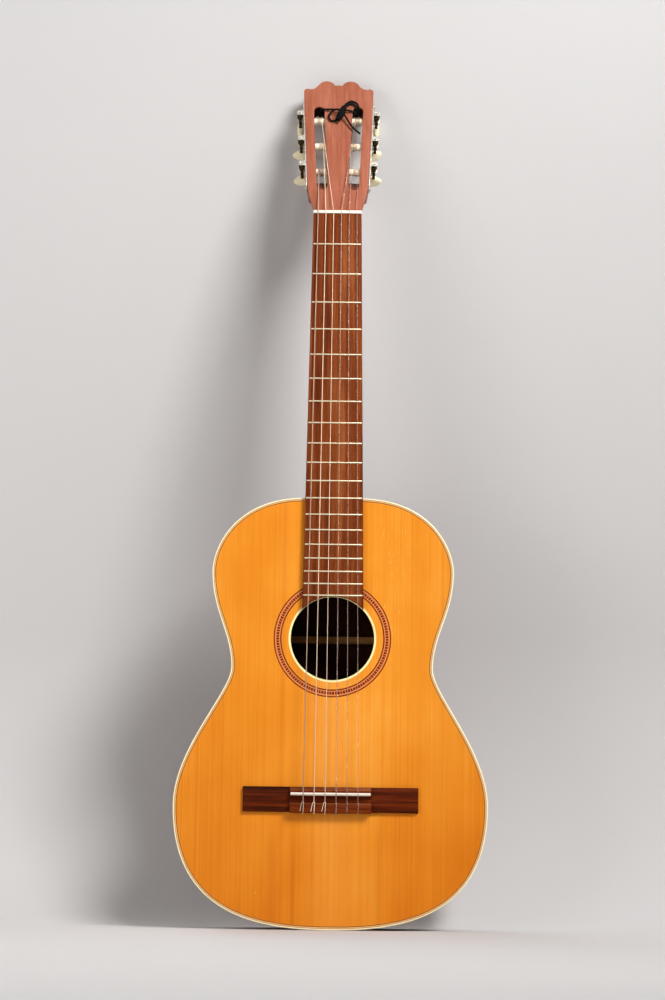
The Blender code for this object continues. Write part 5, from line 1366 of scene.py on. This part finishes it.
def shaft_mesh():
    """Shaft of the worm with its domed front tip, collar and the stretch into the button."""
    lug = WORM_LENGTH / 2 + SEAM + LUG_THICKNESS + SEAM
    far = lug + LUG_THICKNESS
    profile = [(-lug - beyond, radius) for beyond, radius in SHAFT_TIP]
    profile += [(lug, SHAFT_RADIUS), (lug, COLLAR_RADIUS - COLLAR_EASE), (lug + COLLAR_EASE, COLLAR_RADIUS),
                (far - COLLAR_EASE, COLLAR_RADIUS), (far, COLLAR_RADIUS - COLLAR_EASE), (far, SHAFT_RADIUS),
                (BUTTON_START + SHAFT_INTO_BUTTON - ROLLER_DEPTH, SHAFT_RADIUS)]
    return turned(profile, AXLE_SIDES)


def button_mesh():
    """Oval tuner button along Y, starting at y = 0."""
    angles = [2 * math.pi * i / BUTTON_SIDES for i in range(BUTTON_SIDES)]
    rings = []
    for along, wide, thick in smooth_route(BUTTON_PROFILE, BUTTON_STEPS):
        y = min(max(along, 0.0), 1.0) * BUTTON_LENGTH
        rings.append([(math.cos(a) * wide * BUTTON_HALF_WIDTH, y, math.sin(a) * thick * BUTTON_HALF_THICKNESS)
                      for a in angles])
    return loft(rings)


def build_plate(side):
    """Plate of one side with the worms' bearings, and its screws."""
    sign = SIDES[side]
    place = HEAD @ side_in_head(side)
    low = roller_height(0)
    high = roller_height(ROLLER_COUNT - 1)
    strip = plate([stadium(ROLLER_DEPTH, low - PLATE_OVERHANG, high + PLATE_OVERHANG, PLATE_WIDTH / 2)], 0.0,
                  PLATE_THICKNESS, PLATE_EASE)
    across = Matrix(((0, 1, 0, 0), (1, 0, 0, 0), (0, 0, 1, 0), (0, 0, 0, 1)))
    meshes = [moved(strip, shift(SEAM if sign > 0 else -SEAM - PLATE_THICKNESS, 0, 0) @ across)]
    reach = WORM_LENGTH / 2 + SEAM
    for index in range(ROLLER_COUNT):
        height = roller_height(index) + WORM_RISE
        hole = circle((sign * GEAR_OFFSET, height), SHAFT_RADIUS + SHAFT_PLAY, SCREW_SIDES)
        for y in (ROLLER_DEPTH - reach - LUG_THICKNESS, ROLLER_DEPTH + reach):
            meshes.append(plate([lug_outline(sign, height), hole], y, y + LUG_THICKNESS, PLATE_EASE))
    piece("plate_metal_" + side, joined(meshes), "nickel", stands_for=("tuner_plate_" + side,),
          place=place)
    heights = [low - LOW_SCREW, *(roller_height(i + 0.5) for i in range(ROLLER_COUNT - 1)), high + HIGH_SCREW]
    screws = []
    for height, angle in zip(heights, PLATE_SCREW_TURNS):
        at = shift(sign * (SEAM + PLATE_THICKNESS), ROLLER_DEPTH, height)
        screws.append(moved(screw_mesh(*PLATE_SCREW), at @ spin(sign * math.pi / 2, 'Z') @ spin(angle, 'Y')))
    piece("plate_screws_" + side, joined(screws, 30), "steel", place=place)


def build_machine(side, index):
    """One tuning machine: roller, axle and wheel turn together, and so do worm, shaft and button."""
    sign = SIDES[side]
    key = "%s_%d" % (side, index + 1)
    roller = "roller_" + key
    button = "button_" + key
    axle = HEAD @ side_in_head(side) @ shift(0, ROLLER_DEPTH, roller_height(index))
    outwards = axle @ spin(-sign * math.pi / 2, 'Z')
    profile = [(-ROLLER_LENGTH, ROLLER_RADIUS - ROLLER_EASE), (-ROLLER_LENGTH + ROLLER_EASE, ROLLER_RADIUS),
               (-SEAM - ROLLER_EASE, ROLLER_RADIUS), (-SEAM, ROLLER_RADIUS - ROLLER_EASE)]
    piece("roller_body_" + key, turned(profile), "roller_bone", roller, (roller,), outwards)
    stub_end = GEAR_OFFSET + GEAR_FACE_WIDTH / 2 + 2 * SEAM - STUB_SCREW[1]
    stub = turned([(STUB_START, STUB_RADIUS), (stub_end, STUB_RADIUS)], AXLE_SIDES)
    screw = moved(screw_mesh(*STUB_SCREW),
                  shift(0, stub_end, 0) @ spin(math.pi, 'Z') @ spin(STUB_SCREW_TURNS[index], 'Y'))
    piece("roller_axle_" + key, joined([stub, screw]), "steel", roller, place=outwards)
    worm = axle @ shift(sign * GEAR_OFFSET, 0, 0)
    piece("worm_wheel_" + key, gear_mesh(), "bronze", roller, ("gear_" + key,), worm)
    shaft = worm @ shift(0, 0, WORM_RISE)
    piece("worm_" + key, worm_mesh(), "bronze", button, ("worm_shaft_" + key,), shaft)
    piece("worm_axle_" + key, shaft_mesh(), "nickel", button, place=shaft)
    turn = spin(math.radians(BUTTON_TURNS[side][index]), 'Y')
    seat = shift(0, BUTTON_START - ROLLER_DEPTH, 0)
    piece("tuner_button_" + key, button_mesh(), "aged_cream", button, (button,), shaft @ turn @ seat)


def knot_route():
    """The lace's knot, wrapped round and round itself, thick in the middle and flat on the head."""
    route = []
    for i in range(KNOT_TURNS * KNOT_STEPS + 1):
        share = i / (KNOT_TURNS * KNOT_STEPS)
        turn = 2 * math.pi * KNOT_TURNS * share
        swell = math.sin(math.pi * share) ** KNOT_SWELL
        radius = KNOT_RADIUS * (KNOT_END_SHARE + (1 - KNOT_END_SHARE) * swell)
        local = Vector((radius * math.cos(turn), KNOT_FLATNESS * radius * math.sin(turn),
                        KNOT_LENGTH * (share - 0.5)))
        route.append(HEAD @ shift(*KNOT_PLACE) @ spin(KNOT_LEAN, 'Y') @ local)
    return route


def build_lace():
    """The lace that is tied round the head's centre bar."""
    route, strand = (smooth_route([HEAD @ Vector(p) for p in points], LACE_STEPS)
                     for points in (LACE_ROUTE[::-1], BOW_ROUTE))
    lines = (("cord", route, ("lace",)), ("knot", knot_route(), ()), ("bow", strand, ()))
    lace, *others = [piece("lace_" + name, tube_curve(line, LACE_DIAMETER), "black_cord",
                           stands_for=solids) for name, line, solids in lines]


def finish_inside():
    """Bare wood on the blocks, linings and bars, which keep their shapes."""
    for name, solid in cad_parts.items():
        if any(word in name for word in ("lining", "block", "_bar_", "brace")):
            solid.data.materials.clear()
            coloured(solid.data, "inner_wood")


def build_camera():
    """The camera of the photograph: level turn, then pitch, then roll."""
    data = bpy.data.cameras.new("camera")
    data.lens = FOCAL_PIXELS * SENSOR_LONG_SIDE / FRAME_LONG_SIDE
    data.sensor_width = SENSOR_LONG_SIDE
    camera = linked("camera", data)
    turn = spin(-CAMERA_YAW, 'Z') @ spin(math.pi / 2 + CAMERA_PITCH, 'X') @ spin(-CAMERA_ROLL, 'Z')
    camera.matrix_world = shift(*CAMERA_PLACE) @ turn
    bpy.context.scene.camera = camera


def lamp(name, place, target, width, height, power, spread):
    """A soft rectangular lamp that faces its target."""
    data = bpy.data.lights.new(name, 'AREA')
    data.shape = 'RECTANGLE'
    data.size = width
    data.size_y = height
    data.energy = power
    data.spread = math.radians(spread)
    made = linked(name, data)
    made.location = place
    made.visible_camera = False
    made.rotation_mode = 'QUATERNION'
    made.rotation_quaternion = (Vector(target) - Vector(place)).to_track_quat('-Z', 'Y')


def paper(name, see_through):
    """Pale grey paper, which fades into the plain grey of the room far from the guitar.

    A see-through sheet is clear from behind and to the lamps behind it.
    """
    made = Finish(name, PAPER_GREY, 0.9, specular_ior_level=0.1)
    drift = made.noise((3, 3, 3), 2.0, 0.5)
    made.done(made.blend(made.level(drift, 0.3, 0.7, 0.0, 0.25), PAPER_LIGHT, PAPER_GREY))
    reach = made.node("ShaderNodeVectorMath", {0: made.place}, operation="LENGTH").outputs["Value"]
    rays = made.node("ShaderNodeLightPath").outputs
    away = made.product(made.level(reach, FADE_START, FADE_END, 0.0, 1.0), rays["Is Camera Ray"])
    plain = made.node("ShaderNodeEmission", {"Color": ROOM_TINT, "Strength": ROOM_GREY}).outputs["Emission"]
    sheet = made.shader.outputs["BSDF"]
    shown = made.node("ShaderNodeMixShader", {0: away, 1: sheet, 2: plain}).outputs["Shader"]
    if see_through:
        clear = made.node("ShaderNodeBsdfTransparent").outputs["BSDF"]
        behind = made.node("ShaderNodeNewGeometry").outputs["Backfacing"]
        passed = made.maths("MAXIMUM", behind, rays["Is Shadow Ray"])
        shown = made.node("ShaderNodeMixShader", {0: passed, 1: shown, 2: clear}).outputs["Shader"]
    made.feed(made.tree.nodes["Material Output"].inputs["Surface"], shown)
    return made.made


def build_sheet(name, profile, half_width, finish):
    """A sheet of the stage that is straight along X, from its (y, z) profile."""
    points = [(x, y, z) for y, z in profile for x in (-half_width, half_width)]
    faces = [(2 * i, 2 * i + 1, 2 * i + 3, 2 * i + 2) for i in range(len(profile) - 1)]
    mesh = bpy.data.meshes.new(name)
    mesh.from_pydata(points, [], faces)
    mesh.shade_smooth()
    mesh.materials.append(finish)
    linked(name, mesh)


def build_room():
    """The world: weak light, and the pale grey that the camera and shiny surfaces see."""
    world = bpy.data.worlds.new("studio")
    world.use_nodes = True
    made = Nodes(world.node_tree)
    rays = made.node("ShaderNodeLightPath").outputs
    seen = made.maths("MAXIMUM", rays["Is Camera Ray"], rays["Is Glossy Ray"])
    seen = made.maths("MAXIMUM", seen, rays["Is Transmission Ray"])
    background = made.tree.nodes["Background"].inputs
    made.feed(background["Strength"], made.level(seen, 0.0, 1.0, ROOM_LIGHT, ROOM_GREY))
    made.feed(background["Color"], ROOM_TINT)
    bpy.context.scene.world = world


def build_stage():
    """Floor, paper, lamps and room."""
    bend, straight, top = ((PAPER_HEAD_Y + (PAPER_HEAD_Z - z) * math.tan(PAPER_LEAN), z)
                           for z in (*PAPER_BEND_Z, PAPER_TOP_Z))
    profile = beziers(((PAPER_FOOT_Y, 0.0), PAPER_RAMP, bend, straight, PAPER_STEPS)) + [straight, top]
    build_sheet("backdrop", profile, PAPER_HALF_WIDTH, paper("wall_paper", True))
    build_sheet("floor", [(-FLOOR_HALF, 0.0), (FLOOR_HALF, 0.0)], FLOOR_HALF, paper("floor_paper", False))
    for name, settings in LAMPS.items():
        lamp(name, *settings)
    build_room()


build_camera()
build_lace()
build_bindings()
build_soundboard()
build_box()
build_neck()
build_fingerboard()
build_bridge()
build_strings()
for machine_side in SIDES:
    build_plate(machine_side)
    for machine_index in range(ROLLER_COUNT):
        build_machine(machine_side, machine_index)
finish_inside()
build_stage()
bpy.context.scene.view_settings.view_transform = 'Standard'
